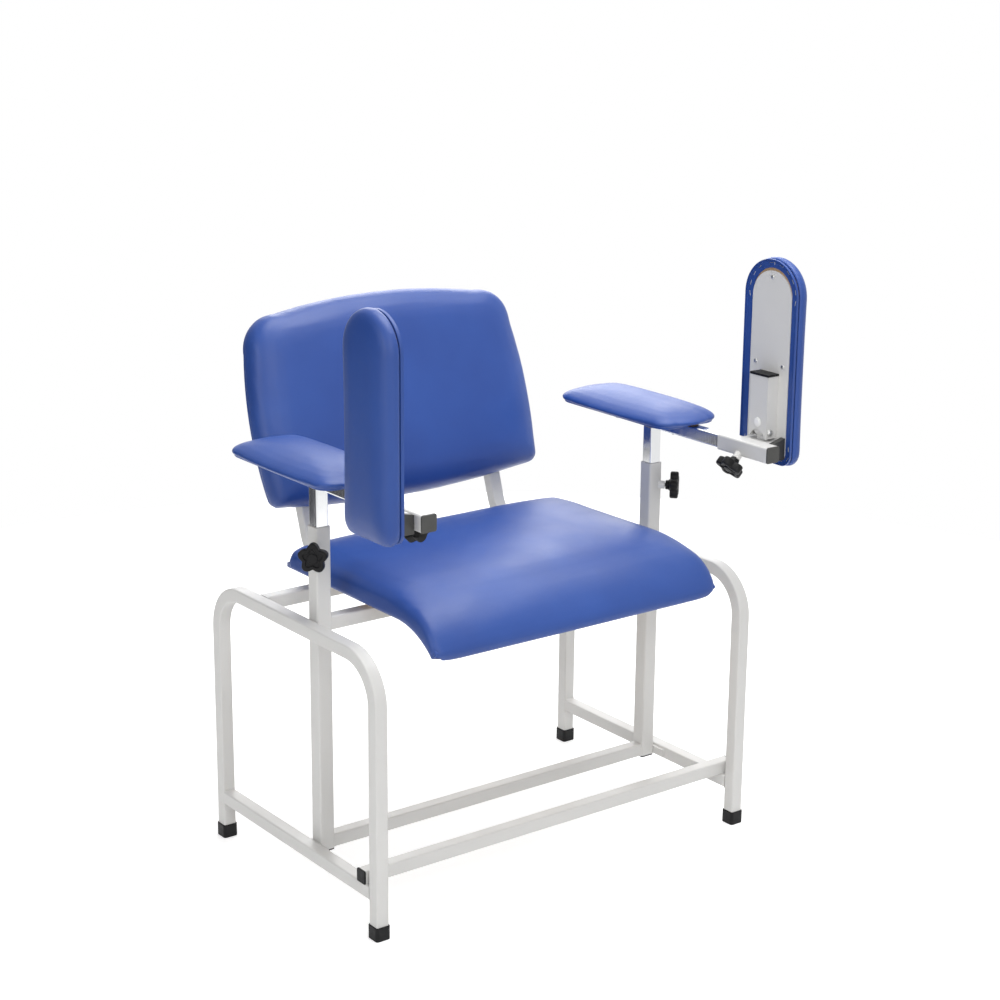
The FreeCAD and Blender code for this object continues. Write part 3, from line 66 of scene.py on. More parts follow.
# %% Place the camera
camera_data = bpy.data.cameras.new("photo_camera")
camera_data.lens = 76.715
camera_data.sensor_width = 36
camera = bpy.data.objects.new("photo_camera", camera_data)
heading = Matrix.Rotation(math.radians(-37.01), 4, "Z")
tilt = Matrix.Rotation(math.radians(90 - 15.78), 4, "X")
roll = Matrix.Rotation(math.radians(0.52), 4, "Z")
camera.matrix_world = Matrix.Translation((-2.2513, -3.0458, 1.7240)) @ heading @ tilt @ roll
scene.collection.objects.link(camera)
scene.camera = camera
print("camera stands at", [round(value, 2) for value in camera.matrix_world.translation], "metres")

# %% [markdown]
# ## Light and floor
#
# A product picture like this one is lit from a large soft box overhead. A second box behind
# the chair lays the pale sheen on the tops of the cushions, and two weaker fills, from the
# front left and from the left, open the shadows. The world behind is white for the camera.
# Chrome needs something dark to mirror or it looks like plaster, so for reflections the
# world turns dark low down behind the chair's left side.

# %% Soft lights
scene.view_settings.view_transform = "Standard"


def soft_light(name, place, target, size, power):
    """A square lamp that shines from its place towards a target."""
    lamp = bpy.data.lights.new(name, "AREA")
    lamp.shape = "SQUARE"
    lamp.size = size
    lamp.energy = power
    holder = bpy.data.objects.new(name, lamp)
    turn = (Vector(target) - Vector(place)).to_track_quat("-Z", "Y")
    holder.matrix_world = Matrix.Translation(place) @ turn.to_matrix().to_4x4()
    holder.visible_camera = False
    scene.collection.objects.link(holder)


soft_light("overhead_box", (0.5, -0.3, 3.2), (0, 0, 0.5), 2.2, 78)
soft_light("rear_box", (1.8, 2.4, 2.2), (0, 0, 0.7), 2.0, 40)
soft_light("front_left_fill", (-1.4, -3.9, 2.2), (0, 0, 0.6), 1.6, 46)
soft_light("left_fill", (-3.6, -1.0, 1.6), (0, 0, 0.6), 1.6, 27)
print("4 soft lights")

# %% Helpers that add shader nodes


def shade(tree, kind, inputs=None, **properties):
    """Add a node, set its properties, and set or link its inputs."""
    made = tree.nodes.new("ShaderNode" + kind)
    for name, value in properties.items():
        setattr(made, name, value)
    for key, value in (inputs or {}).items():
        socket = made.inputs[key]
        if isinstance(value, bpy.types.NodeSocket):
            tree.links.new(value, socket)
        else:
            socket.default_value = value
    return made


def math_node(tree, operation, first, second):
    return shade(tree, "Math", {0: first, 1: second}, operation=operation).outputs[0]


def two_tone(tree, factor, first, second, **how):
    """Mix two colours, each a socket or its red, green and blue."""
    colours = [tone if isinstance(tone, bpy.types.NodeSocket) else (*tone, 1) for tone in (first, second)]
    inputs = {0: factor, 6: colours[0], 7: colours[1]}
    return shade(tree, "Mix", inputs, data_type="RGBA", **how).outputs[2]


def ray_kinds(tree):
    """Whether a ray comes from the camera, and whether it was mirrored or refracted."""
    rays = shade(tree, "LightPath").outputs
    mirrored = math_node(tree, "MAXIMUM", rays["Is Glossy Ray"], rays["Is Transmission Ray"])
    return rays["Is Camera Ray"], mirrored


# %% The world: white for the camera, soft grey light, darker low at the left rear
WHITE = (1, 1, 1)
SOFT_GREY = (0.36, 0.36, 0.36)
DARK_SIDE = (-0.62, 0.74, -0.26)
world = bpy.data.worlds.new("studio")
world.use_nodes = True
scene.world = world
tree = world.node_tree
tree.nodes.clear()
direction = shade(tree, "TexCoord").outputs["Generated"]
facing = shade(tree, "VectorMath", {0: direction, 1: DARK_SIDE}, operation="DOT_PRODUCT")
dark_range = {0: facing.outputs["Value"], 1: 0.35, 2: 0.95}
dark = shade(tree, "MapRange", dark_range, interpolation_type="SMOOTHSTEP").outputs[0]
mirrored_tone = two_tone(tree, dark, WHITE, (0.09, 0.09, 0.1))
camera_ray, mirrored_ray = ray_kinds(tree)
light_tone = two_tone(tree, mirrored_ray, SOFT_GREY, mirrored_tone)
sky_tone = two_tone(tree, camera_ray, light_tone, WHITE)
sky = shade(tree, "Background", {"Color": sky_tone, "Strength": 1.0})
shade(tree, "OutputWorld", {"Surface": sky.outputs[0]})
print("the world has", len(tree.nodes), "nodes")

# %% The floor: a white disc that keeps the chair's soft shadow
FLOOR_RADIUS = 2.4
FLOOR_LIFT = 0.5
floor_mesh = bpy.data.meshes.new("floor")
disc = bmesh.new()
bmesh.ops.create_circle(disc, cap_ends=True, radius=FLOOR_RADIUS, segments=96)
disc.to_mesh(floor_mesh)
disc.free()
floor = bpy.data.objects.new("floor", floor_mesh)
scene.collection.objects.link(floor)
paper = bpy.data.materials.new("floor_paper")
paper.use_nodes = True
tree = paper.node_tree
tree.nodes.clear()
seen_ray = math_node(tree, "MAXIMUM", *ray_kinds(tree))
lift = math_node(tree, "MULTIPLY", seen_ray, FLOOR_LIFT)
matte = shade(tree, "BsdfDiffuse", {"Color": (0.86, 0.86, 0.86, 1)})
glow = shade(tree, "Emission", {"Color": (*WHITE, 1), "Strength": lift})
lifted = shade(tree, "AddShader", {0: matte.outputs[0], 1: glow.outputs[0]})
shade(tree, "OutputMaterial", {"Surface": lifted.outputs[0]})
floor_mesh.materials.append(paper)
print("the floor is a disc", 2 * FLOOR_RADIUS, "m across")

# %% [markdown]
# ## The finishes
#
# Each finish is a small recipe of noise patterns. They all read Object coordinates, which
# are metres in the chair's own space, so a grain of 760 cells a metre is a real leather
# grain of about 1.3 mm. A second use of the patterns is relief: the Bump node takes its
# distance in metres too, so a paint skin ripples by hundredths of a millimetre.

# %% Start a finish


def new_finish(name, **constants):
    """A material, its node tree, its main shader and the chair's own coordinates."""
    finish = bpy.data.materials.new(name)
    finish.use_nodes = True
    tree = finish.node_tree
    skin = tree.nodes["Principled BSDF"]
    for socket, value in constants.items():
        skin.inputs[socket.replace("_", " ")].default_value = value
    return finish, tree, skin, shade(tree, "TexCoord").outputs["Object"]


def noise(tree, where, scale, detail):
    return shade(tree, "TexNoise", {"Vector": where, "Scale": scale, "Detail": detail}).outputs["Fac"]


def spread(tree, value, low, high, start, end):
    """Stretch a pattern's values from one range to another."""
    return shade(tree, "MapRange", {0: value, 1: low, 2: high, 3: start, 4: end}).outputs[0]


def relief(tree, height, distance, strength, normal=None):
    inputs = {"Height": height, "Distance": distance, "Strength": strength}
    if normal is not None:
        inputs["Normal"] = normal
    return shade(tree, "Bump", inputs).outputs["Normal"]


# %% [markdown]
# ### Vinyl
#
# The covers are royal blue clinic vinyl: a knit backing with a plastic skin, rolled with a
# fine leather grain. A photograph of vinyl would fix its grain to flat sheets. A Voronoi
# pattern works on any shape: its cell borders are the creases between the pebbles. Noise
# pushes the borders about so that no two pebbles are alike, and a broad noise lets the
# sheen and the blue drift a little, as they do where the skin is stretched.

# %% Make the vinyl
BLUE = (0.020, 0.073, 0.320)
DEEP_BLUE = (0.015, 0.058, 0.272)
CREASE_SHADE = (0.55, 0.6, 0.7)
PEBBLES_PER_METRE = 760
vinyl, tree, skin, where = new_finish("vinyl", Specular_IOR_Level=0.5)
drift = noise(tree, where, 5, 3)
skin_blue = two_tone(tree, spread(tree, drift, 0.35, 0.65, 0, 1), BLUE, DEEP_BLUE)
wander = shade(tree, "TexNoise", {"Vector": where, "Scale": 160, "Detail": 1})
shifted = shade(tree, "VectorMath", {0: wander.outputs["Color"], 3: 0.0016}, operation="SCALE")
pebble_place = shade(tree, "VectorMath", {0: where, 1: shifted.outputs[0]}, operation="ADD")
pebble_inputs = {"Vector": pebble_place.outputs[0], "Scale": PEBBLES_PER_METRE}
pebbles = shade(tree, "TexVoronoi", pebble_inputs, feature="DISTANCE_TO_EDGE")
crease = spread(tree, pebbles.outputs["Distance"], 0, 0.22, 0, 1)
# Painted shade: the creases between the pebbles are multiplied darker in the colour, standing in for the
# shade that falls in them.
painted_crease_shade = two_tone(tree, spread(tree, crease, 0, 1, 0.1, 0), WHITE, CREASE_SHADE)
tinted = two_tone(tree, 1.0, skin_blue, painted_crease_shade, blend_type="MULTIPLY")
tree.links.new(tinted, skin.inputs["Base Color"])
ripple = relief(tree, noise(tree, where, 34, 3), 0.0009, 0.35)
grained = relief(tree, crease, 0.00007, 0.8, ripple)
tree.links.new(grained, skin.inputs["Normal"])
sheen_drift = spread(tree, noise(tree, where, 9, 2), 0.3, 0.7, 0.36, 0.46)
tree.links.new(sheen_drift, skin.inputs["Roughness"])
print("vinyl is a finish of", len(tree.nodes), "nodes")

# %% [markdown]
# ### Painted steel
#
# The frame is powder coated in light grey: baked paint that is thick on the flats, ripples
# like orange peel, and thins along the edges. The Bevel node rounds a sharp edge for the
# light alone, and where its answer differs from the true surface there must be an edge, so
# it also tells us where the coat is thin.

# %% Make the paint
PAINT = (0.705, 0.70, 0.685)
CLOUDY_PAINT = (0.665, 0.66, 0.645)
THIN_PAINT = (0.42, 0.42, 0.43)
paint, tree, skin, where = new_finish("powder_coat", Specular_IOR_Level=0.5)
rounded = shade(tree, "Bevel", {"Radius": 0.0012}, samples=4).outputs["Normal"]
true_normal = shade(tree, "NewGeometry").outputs["Normal"]
flatness = shade(tree, "VectorMath", {0: rounded, 1: true_normal}, operation="DOT_PRODUCT").outputs["Value"]
thin = spread(tree, flatness, 1.0, 0.8, 0, 1)
worn = math_node(tree, "MULTIPLY", thin, spread(tree, noise(tree, where, 70, 3), 0.45, 0.7, 0, 1))
coat = two_tone(tree, noise(tree, where, 6, 2), PAINT, CLOUDY_PAINT)
coat = two_tone(tree, math_node(tree, "MULTIPLY", worn, 0.35), coat, THIN_PAINT)
tree.links.new(coat, skin.inputs["Base Color"])
peel = relief(tree, noise(tree, where, 620, 1), 0.00009, 0.6, rounded)
tree.links.new(peel, skin.inputs["Normal"])
tree.links.new(spread(tree, noise(tree, where, 40, 2), 0.3, 0.7, 0.34, 0.44), skin.inputs["Roughness"])
print("powder coat is a finish of", len(tree.nodes), "nodes")

# %% [markdown]
# ### Chrome and zinc
#
# The armrest posts and tubes are plated: a mirror with faint rub marks along it from the
# parts that slide over them. The screws are zinc plated, which is duller and mottled.

# %% Make the metals
chrome, tree, skin, where = new_finish("chrome", Metallic=1.0, Base_Color=(0.78, 0.79, 0.8, 1))
rub = shade(tree, "Mapping", {"Vector": where, "Scale": (900, 900, 14)}).outputs[0]
hairs = noise(tree, rub, 1, 2)
tree.links.new(spread(tree, hairs, 0.4, 0.8, 0.09, 0.2), skin.inputs["Roughness"])
rounded = shade(tree, "Bevel", {"Radius": 0.0008}, samples=4).outputs["Normal"]
tree.links.new(relief(tree, noise(tree, where, 30, 1), 0.0002, 0.15, rounded), skin.inputs["Normal"])

zinc, tree, skin, where = new_finish("zinc", Metallic=1.0)
mottle = noise(tree, where, 380, 3)
tree.links.new(two_tone(tree, mottle, (0.62, 0.62, 0.6), (0.46, 0.47, 0.47)), skin.inputs["Base Color"])
tree.links.new(spread(tree, mottle, 0.3, 0.7, 0.28, 0.46), skin.inputs["Roughness"])
tree.links.new(relief(tree, mottle, 0.00005, 0.5), skin.inputs["Normal"])

# %% [markdown]
# ### The hinge block
#
# The block that carries the flip-over arm is painted like the frame, but its front is dark
# grey. One shape with two colours needs no cut: the Y coordinate tells how far forward a
# point lies, and a step on it changes the colour.

# %% Paint the hinge block in two colours
BLOCK_STEP_Y = -342.4 * MM
block_paint, tree, skin, where = new_finish("block_paint", Specular_IOR_Level=0.4)
rounded = shade(tree, "Bevel", {"Radius": 0.0012}, samples=4).outputs["Normal"]
forward = shade(tree, "SeparateXYZ", {0: where}).outputs["Y"]
back_part = math_node(tree, "GREATER_THAN", forward, BLOCK_STEP_Y)
black = two_tone(tree, noise(tree, where, 60, 3), (0.045, 0.045, 0.043), (0.062, 0.062, 0.06))
coat = two_tone(tree, noise(tree, where, 6, 2), PAINT, (0.64, 0.64, 0.635))
tree.links.new(two_tone(tree, back_part, black, coat), skin.inputs["Base Color"])
tree.links.new(spread(tree, noise(tree, where, 220, 2), 0.3, 0.7, 0.34, 0.5), skin.inputs["Roughness"])
tree.links.new(relief(tree, noise(tree, where, 700, 1), 0.00008, 0.6, rounded), skin.inputs["Normal"])

# %% [markdown]
# ### Moulded plastic
#
# The knobs, feet and end caps are black nylon from a mould whose walls were spark eroded,
# which leaves a fine even grain. The caps in the sleeves' fronts are the same in dark grey,
# and the stop buttons in white.

# %% Make the plastics


def moulded(name, first, second, low, high, shine):
    """Nylon with the fine grain of its mould, between two tones and two roughnesses."""
    nylon, tree, skin, where = new_finish(name, Specular_IOR_Level=shine)
    tree.links.new(two_tone(tree, noise(tree, where, 45, 3), first, second), skin.inputs["Base Color"])
    tree.links.new(spread(tree, noise(tree, where, 130, 2), 0.3, 0.7, low, high), skin.inputs["Roughness"])
    rounded = shade(tree, "Bevel", {"Radius": 0.0008}, samples=4).outputs["Normal"]
    tree.links.new(relief(tree, noise(tree, where, 1500, 2), 0.00006, 0.7, rounded), skin.inputs["Normal"])
    return nylon


black_plastic = moulded("black_plastic", (0.004, 0.004, 0.0045), (0.009, 0.009, 0.01), 0.4, 0.55, 0.2)
grey_plastic = moulded("grey_plastic", (0.05, 0.05, 0.048), (0.07, 0.07, 0.067), 0.4, 0.5, 0.4)
white_plastic = moulded("white_plastic", (0.9, 0.9, 0.89), (0.84, 0.84, 0.82), 0.3, 0.42, 0.5)

# %% [markdown]
# ### Plywood
#
# The boards under the cushions are birch plywood. Noise squeezed along one axis gives the
# long fibres of the face veneer, and a slower one gives its cathedral bands.

# %% Make the plywood
plywood, tree, skin, where = new_finish("plywood", Specular_IOR_Level=0.4)
fibre_place = shade(tree, "Mapping", {"Vector": where, "Scale": (6, 240, 240)}).outputs[0]
band_place = shade(tree, "Mapping", {"Vector": where, "Scale": (1.6, 14, 14)}).outputs[0]
fibres = noise(tree, fibre_place, 1, 3)
band_inputs = {"Vector": band_place, "Scale": 1.2, "Distortion": 5, "Detail": 2}
bands = shade(tree, "TexWave", band_inputs).outputs["Fac"]
birch = two_tone(tree, bands, (0.56, 0.4, 0.24), (0.44, 0.29, 0.16))
birch = two_tone(tree, spread(tree, fibres, 0.45, 0.75, 0, 0.5), birch, (0.3, 0.19, 0.1))
tree.links.new(birch, skin.inputs["Base Color"])
tree.links.new(spread(tree, fibres, 0.3, 0.7, 0.5, 0.7), skin.inputs["Roughness"])
tree.links.new(relief(tree, fibres, 0.00015, 0.6), skin.inputs["Normal"])

# %% Give every CAD piece its finish
finishes = {
    "vinyl": vinyl,
    "powder_coat": paint,
    "chrome": chrome,
    "zinc": zinc,
    "black_steel": block_paint,
    "black_plastic": black_plastic,
    "white_plastic": white_plastic,
    "plywood": plywood,
}
for part in frame["record"]["subparts"]:
    mesh = nodes[part["node"]].data
    mesh.materials.clear()
    mesh.materials.append(finishes[part["material_slot"]])
for side in SIDES:
    nodes[f"sleeve_cap_{side}"].data.materials[0] = grey_plastic

# %% [markdown]
# ## The cushions
#
# A vinyl cover is cut a little small and pulled over foam, so it stands in one tight curve
# from edge to edge and turns sharply only where it is stapled under the board. Modelling
# that by hand takes patience. Instead we let cloth find it: we copy the CAD cushion, cover
# it with even squares, pin the part that touches the board, and blow it up a little.

# %% Helpers: a merged copy of a CAD mesh, and a mesh shown as a piece


def merged_copy(node_name):
    """A bmesh of a CAD node whose loose triangles are joined."""
    made = bmesh.new()
    made.from_mesh(nodes[node_name].data)
    bmesh.ops.remove_doubles(made, verts=made.verts, dist=0.01 * MM)
    bmesh.ops.recalc_face_normals(made, faces=made.faces)
    return made


def add_piece(name, made, body, slot, smooth=True):
    """Turn a bmesh into a piece that rides on a body and wears a finish."""
    mesh = bpy.data.meshes.new(name)
    made.to_mesh(mesh)
    made.free()
    mesh.materials.append(finishes[slot])
    mesh.shade_smooth() if smooth else mesh.shade_flat()
    piece = bpy.data.objects.new(name, mesh)
    scene.collection.objects.link(piece)
    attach(piece, body)
    return piece


def baked(piece):
    """The piece's mesh with its modifiers worked in."""
    bpy.context.view_layer.update()
    seen = piece.evaluated_get(bpy.context.evaluated_depsgraph_get())
    return bpy.data.meshes.new_from_object(seen)


# %% Cover a shape with even squares


def even_squares(name, made, size):
    """Remesh a closed shape, and give back an object whose faces are all alike."""
    mesh = bpy.data.meshes.new(name)
    made.to_mesh(mesh)
    made.free()
    shape = bpy.data.objects.new(name, mesh)
    scene.collection.objects.link(shape)
    remesh = shape.modifiers.new("squares", "REMESH")
    remesh.mode = "VOXEL"
    remesh.voxel_size = size
    covered = baked(shape)
    shape.modifiers.clear()
    shape.data = covered
    return shape


# %% Take the ruffles out of a cover


def without_ruffles(mesh, moves, passes=30):
    """Average each point's move with its neighbours', which keeps swells and drops ruffles."""
    neighbours = [[] for _ in moves]
    for edge in mesh.edges:
        first, second = edge.vertices
        neighbours[first].append(second)
        neighbours[second].append(first)
    for _ in range(passes):
        moves = [
            (move + sum((moves[other] for other in around), Vector())) / (1 + len(around))
            for move, around in zip(moves, neighbours)
        ]
    return moves


# %% Stretch vinyl over it
CLOTH_FRAMES = 20
PINNED_WITHIN = 5 * MM


def stretch_vinyl(shape, board_name, pressure, cap):
    """Blow a cover up, pinned where it lies on its board, and stop each point at a cap."""
    board = merged_copy(board_name)
    tree = BVHTree.FromBMesh(board)
    board.free()
    mesh = shape.data
    start = [vertex.co.copy() for vertex in mesh.vertices]
    near = [index for index, place in enumerate(start) if tree.find_nearest(place)[3] < PINNED_WITHIN]
    pins = shape.vertex_groups.new(name="stapled")
    pins.add(near, 1.0, "REPLACE")
    cloth = shape.modifiers.new("stretch", "CLOTH")
    cloth.settings.quality = 6
    cloth.settings.mass = 0.4
    cloth.settings.tension_stiffness = 40
    cloth.settings.compression_stiffness = 4
    cloth.settings.shear_stiffness = 4
    cloth.settings.bending_stiffness = 12
    cloth.settings.vertex_group_mass = "stapled"
    cloth.settings.use_pressure = True
    cloth.settings.uniform_pressure_force = pressure
    cloth.settings.effector_weights.gravity = 0
    cloth.point_cache.frame_start = 1
    cloth.point_cache.frame_end = CLOTH_FRAMES
    for moment in range(1, CLOTH_FRAMES + 1):
        scene.frame_set(moment)
    stretched = baked(shape)
    shape.modifiers.clear()
    shape.data = stretched
    moves = [vertex.co - before for vertex, before in zip(stretched.vertices, start)]
    farthest = max(move.length for move in moves)
    moves = [move * min(1, cap / max(move.length, 1e-9)) for move in moves]
    for vertex, before, move in zip(stretched.vertices, start, without_ruffles(stretched, moves)):
        vertex.co = before + move
    scene.frame_set(1)
    print(shape.name, len(start), "points, farthest move", round(farthest / MM, 1), "mm")


# %% Finish a cushion as a piece


def relax(made):
    """Even out a skin's small bumps."""
    bmesh.ops.smooth_vert(
        made, verts=made.verts, factor=0.5, use_axis_x=True, use_axis_y=True, use_axis_z=True
    )


RIM_HEIGHT = 0.28
TUCK_START = 0.86


def thin_rim(made):
    """Draw an arm pad's thickness together towards its rim, as the cover's seam does."""
    places = [vertex.co for vertex in made.verts]
    low, high = (Vector([pick(place[axis] for place in places) for axis in range(3)]) for pick in (min, max))
    middle, half = (low + high) / 2, (high - low) / 2
    seam = low.z + 6 * MM
    for vertex in made.verts:
        place = vertex.co - middle
        out = min(1, ((place.x / half.x) ** 8 + (place.y / half.y) ** 8) ** 0.125)
        arch = RIM_HEIGHT + (1 - RIM_HEIGHT) * math.sqrt(1 - out * out)
        tuck = 1 - 0.6 * max(0, (out - TUCK_START) / (1 - TUCK_START))
        vertex.co.z = seam + (vertex.co.z - seam) * (arch if vertex.co.z > seam else tuck)


def cushion(name, cad_name, board_name, body, square, swell, cap, pressure, shaper=None):
    """A vinyl cushion over a CAD cushion's shape, which it starts a small swell larger than."""
    shape = even_squares(name, merged_copy(cad_name), square)
    skin = bmesh.new()
    skin.from_mesh(shape.data)
    relax(skin)
    if shaper:
        shaper(skin)
    skin.normal_update()
    for vertex in skin.verts:
        vertex.co += vertex.normal * swell
    skin.to_mesh(shape.data)
    skin.free()
    stretch_vinyl(shape, board_name, pressure, cap)
    skin = bmesh.new()
    skin.from_mesh(shape.data)
    relax(skin)
    bpy.data.objects.remove(shape)
    piece = add_piece(name, skin, body, "vinyl")
    finer = piece.modifiers.new("finer", "SUBSURF")
    finer.levels = finer.render_levels = 1
    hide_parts(cad_name)


# %% Make the six cushions
cushion("seat_vinyl", "seat_cushion", "seat_board", "frame", 6 * MM, 1.5 * MM, 7 * MM, 3.0)
cushion("back_vinyl", "back_cushion", "back_board", "frame", 6 * MM, 2.5 * MM, 6 * MM, 3.0)
for side in SIDES:
    names = [f"arm_pad_vinyl_{side}", f"arm_pad_{side}", f"arm_board_{side}", f"armrest_{side}"]
    cushion(*names, 3.5 * MM, 0.6 * MM, 2 * MM, 2.0, thin_rim)
    names = [f"flip_pad_vinyl_{side}", f"flip_pad_{side}", f"flip_board_{side}", f"flip_arm_{side}"]
    cushion(*names, 4 * MM, 0.8 * MM, 3 * MM, 2.0)

# %% [markdown]
# ## Hems and staples
#
# Behind each pad the vinyl is folded over the rim of the board and stapled in a row. The
# board's own back face gives the shape of that hem: keep that face alone, inset it by the
# width of the fold, throw its middle away, and give the ring that is left the thickness of
# two layers of vinyl. Where a tube or plate crosses the rim the hem is cut out.

# %% Helpers: pick the points out of an operator's result, and round edges or corners


def points(items):
    """The vertices among the things that an operator made."""
    return [item for item in items if isinstance(item, bmesh.types.BMVert)]


def rounded_off(made, geom, offset, segments, affect="EDGES"):
    """Bevel edges or corners in millimetres, to a round profile."""
    bmesh.ops.bevel(
        made, geom=geom, offset=offset * MM, segments=segments, profile=0.5, affect=affect, material=-1
    )


# %% Keep a board's back face as a ring
TUBE_ROOM = 13.5 * MM
TUBE_REACH = 60 * MM
FOLD_ROUND = 1.6


def back_face(board_name, backward, grow):
    """A board's back face as an open sheet with its drillings closed, grown past the rim."""
    sheet = merged_copy(board_name)
    sheet.normal_update()
    others = [face for face in sheet.faces if face.normal.dot(Vector(backward)) < 0.5]
    bmesh.ops.delete(sheet, geom=others, context="FACES")
    rims = [edge for edge in sheet.edges if edge.is_boundary]
    bmesh.ops.holes_fill(sheet, edges=rims, sides=100)
    bmesh.ops.dissolve_limit(sheet, angle_limit=math.radians(0.5), verts=sheet.verts, edges=sheet.edges)
    folded = bmesh.ops.inset_region(sheet, faces=sheet.faces, thickness=-grow, use_boundary=True)["faces"]
    bmesh.ops.delete(sheet, geom=folded, context="FACES")
    return sheet


def folded_ring(sheet, width, lip):
    """Fold a lip down round a sheet's rim, keep a ring of the sheet, and round the fold."""
    sheet.normal_update()
    flat = sheet.faces[:]
    rim = [edge for edge in sheet.edges if edge.is_boundary]
    lowered = set(points(bmesh.ops.extrude_edge_only(sheet, edges=rim)["geom"]))
    for vertex in lowered:
        linked = [edge.other_vert(vertex) for edge in vertex.link_edges]
        above = next(end for end in linked if end not in lowered)
        vertex.co -= above.normal * lip
    bmesh.ops.inset_region(sheet, faces=flat, thickness=width)
    bmesh.ops.delete(sheet, geom=[face for face in flat if face.is_valid], context="FACES")
    bmesh.ops.recalc_face_normals(sheet, faces=sheet.faces)
    folds = [edge for edge in sheet.edges if len(edge.link_faces) == 2 and edge.calc_face_angle() > 1]
    rounded_off(sheet, folds, FOLD_ROUND, 3)


def crosses(place, crossings, half_width):
    """Whether a place lies on a tube that crosses the rim."""
    return any(abs(place.x - x) < half_width and abs(place.y - y) < TUBE_REACH for x, y in crossings)


def clear_strips(sheet, crossings):
    """Cut a sheet away where tubes that run along Y cross the rim."""
    for x, _ in crossings:
        for edge_x in (x - TUBE_ROOM, x + TUBE_ROOM):
            everything = sheet.verts[:] + sheet.edges[:] + sheet.faces[:]
            bmesh.ops.bisect_plane(sheet, geom=everything, plane_co=(edge_x, 0, 0), plane_no=(1, 0, 0))
    crossed = [face for face in sheet.faces if crosses(face.calc_center_median(), crossings, TUBE_ROOM)]
    bmesh.ops.delete(sheet, geom=crossed, context="FACES")


# %% Staples in a row


def outline_path(sheet):
    """The points of a sheet's outer rim, in order round its middle."""
    rim = [vertex.co.copy() for vertex in sheet.verts if vertex.is_boundary]
    middle = sum(rim, Vector()) / len(rim)
    first, second = longest_axes(rim, middle)

    def bearing(place):
        arm = place - middle
        return math.atan2(arm.dot(second), arm.dot(first))

    return sorted(rim, key=bearing)


def longest_axes(places, middle):
    """Two directions at right angles in which a flat set of points is longest."""
    first = max((place - middle for place in places), key=lambda arm: arm.length).normalized()
    across = [place - middle - first * (place - middle).dot(first) for place in places]
    return first, max(across, key=lambda arm: arm.length).normalized()


def even_places(path, spacing):
    """Places at even distances along a closed path, each with its direction."""
    found = []
    left = spacing
    for start, stop in zip(path, path[1:] + path[:1]):
        run = (stop - start).length
        while run > left:
            found.append((start + (stop - start) * (left / run), (stop - start).normalized()))
            left += spacing
        left -= run
    return found


STAPLE_CROWN = (9 * MM, 1.1 * MM, 1.0 * MM, 1)


def staple_row(places, backward):
    """One bmesh of wire staples, their crowns lying along the row."""
    row = bmesh.new()
    up = Vector(backward)
    size = Matrix.Diagonal(STAPLE_CROWN)
    for place, along in places:
        turn = Matrix((along, up.cross(along), up)).transposed().to_4x4()
        crown = bmesh.ops.create_cube(row, size=1, matrix=Matrix.Translation(place) @ turn @ size)
        edges = {edge for vertex in crown["verts"] for edge in vertex.link_edges}
        rounded_off(row, list(edges), 0.3, 1)
    return row


# %% The hem of one board
HEM_THICKNESS = 1.2 * MM
STAPLE_SPACING = 20 * MM
STAPLES_IN_FROM_RIM = 7 * MM
STAPLE_ROOM = TUBE_ROOM + 5.5 * MM


def hem(name, board_name, body, backward, grow, width, lip, crossings=(), trim=None):
    """A folded vinyl hem behind a board, and the staples that hold it."""
    inner = back_face(board_name, backward, grow - STAPLES_IN_FROM_RIM)
    path = outline_path(inner)
    inner.free()
    sheet = back_face(board_name, backward, grow)
    folded_ring(sheet, width, lip)
    if trim:
        trim(sheet)
    clear_strips(sheet, crossings)
    facing = max(sheet.faces, key=lambda face: face.calc_area())
    facing.normal_update()
    outward = -1 if facing.normal.dot(Vector(backward)) > 0 else 1
    bmesh.ops.solidify(sheet, geom=sheet.faces[:], thickness=outward * HEM_THICKNESS)
    bmesh.ops.recalc_face_normals(sheet, faces=sheet.faces)
    fold = add_piece(f"{name}_hem", sheet, body, "vinyl")
    fold.data.set_sharp_from_angle(angle=math.radians(40))
    lift = Vector(backward) * (HEM_THICKNESS + 0.3 * MM)
    places = [(place + lift, along) for place, along in even_places(path, STAPLE_SPACING)]
    places = [spot for spot in places if not crosses(spot[0], crossings, STAPLE_ROOM)]
    add_piece(f"{name}_staples", staple_row(places, backward), body, "zinc", smooth=False)
    print(fold.name, len(places), "staples")


# %% Hems of the four pads on the armrests
DOWN = (0, 0, -1)
POST_X = 378
PLATE_Y = -303.4 * MM
PLATE_FOOT_Z = 743.4 * MM


def below_plate(sheet):
    """Pull the fold's inner edge back where it would run under the steel plate."""
    for vertex in sheet.verts:
        if abs(vertex.co.y - PLATE_Y) < 50 * MM and 743 * MM < vertex.co.z < 760 * MM:
            vertex.co.z = PLATE_FOOT_Z


for side, sign in SIDES.items():
    inward = (-sign, 0, 0)
    names = [f"flip_{side}", f"flip_board_{side}", f"flip_arm_{side}"]
    hem(*names, inward, 4 * MM, 16 * MM, 6 * MM, trim=below_plate)
    names = [f"arm_{side}", f"arm_board_{side}", f"armrest_{side}"]
    hem(*names, DOWN, 2 * MM, 20 * MM, 6 * MM, [(sign * POST_X * MM, -156 * MM)])

# %% Hems of the seat and the back
BAR_X = 220
SLOPE = math.radians(18)
AWAY = (0, math.cos(SLOPE), -math.sin(SLOPE))
bars = [(sign * BAR_X * MM, 168 * MM) for sign in SIDES.values()]
hem("seat", "seat_board", "frame", DOWN, 4.5 * MM, 30 * MM, 8 * MM, bars)
bars = [(sign * BAR_X * MM, 253 * MM) for sign in SIDES.values()]
hem("back", "back_board", "frame", AWAY, 4.5 * MM, 28 * MM, 8 * MM, bars)

# %% [markdown]
# ## Turned and threaded things
#
# Studs, collars, washers and bolt heads are all turned: one profile, spun round an axis. We
# draw each profile as (radius, height) pairs, spin it about Z, and then stand the result on
# its foot in the chair, along whichever way it points.

# %% Spin a profile, raise an outline, stand a shape up, and join shapes


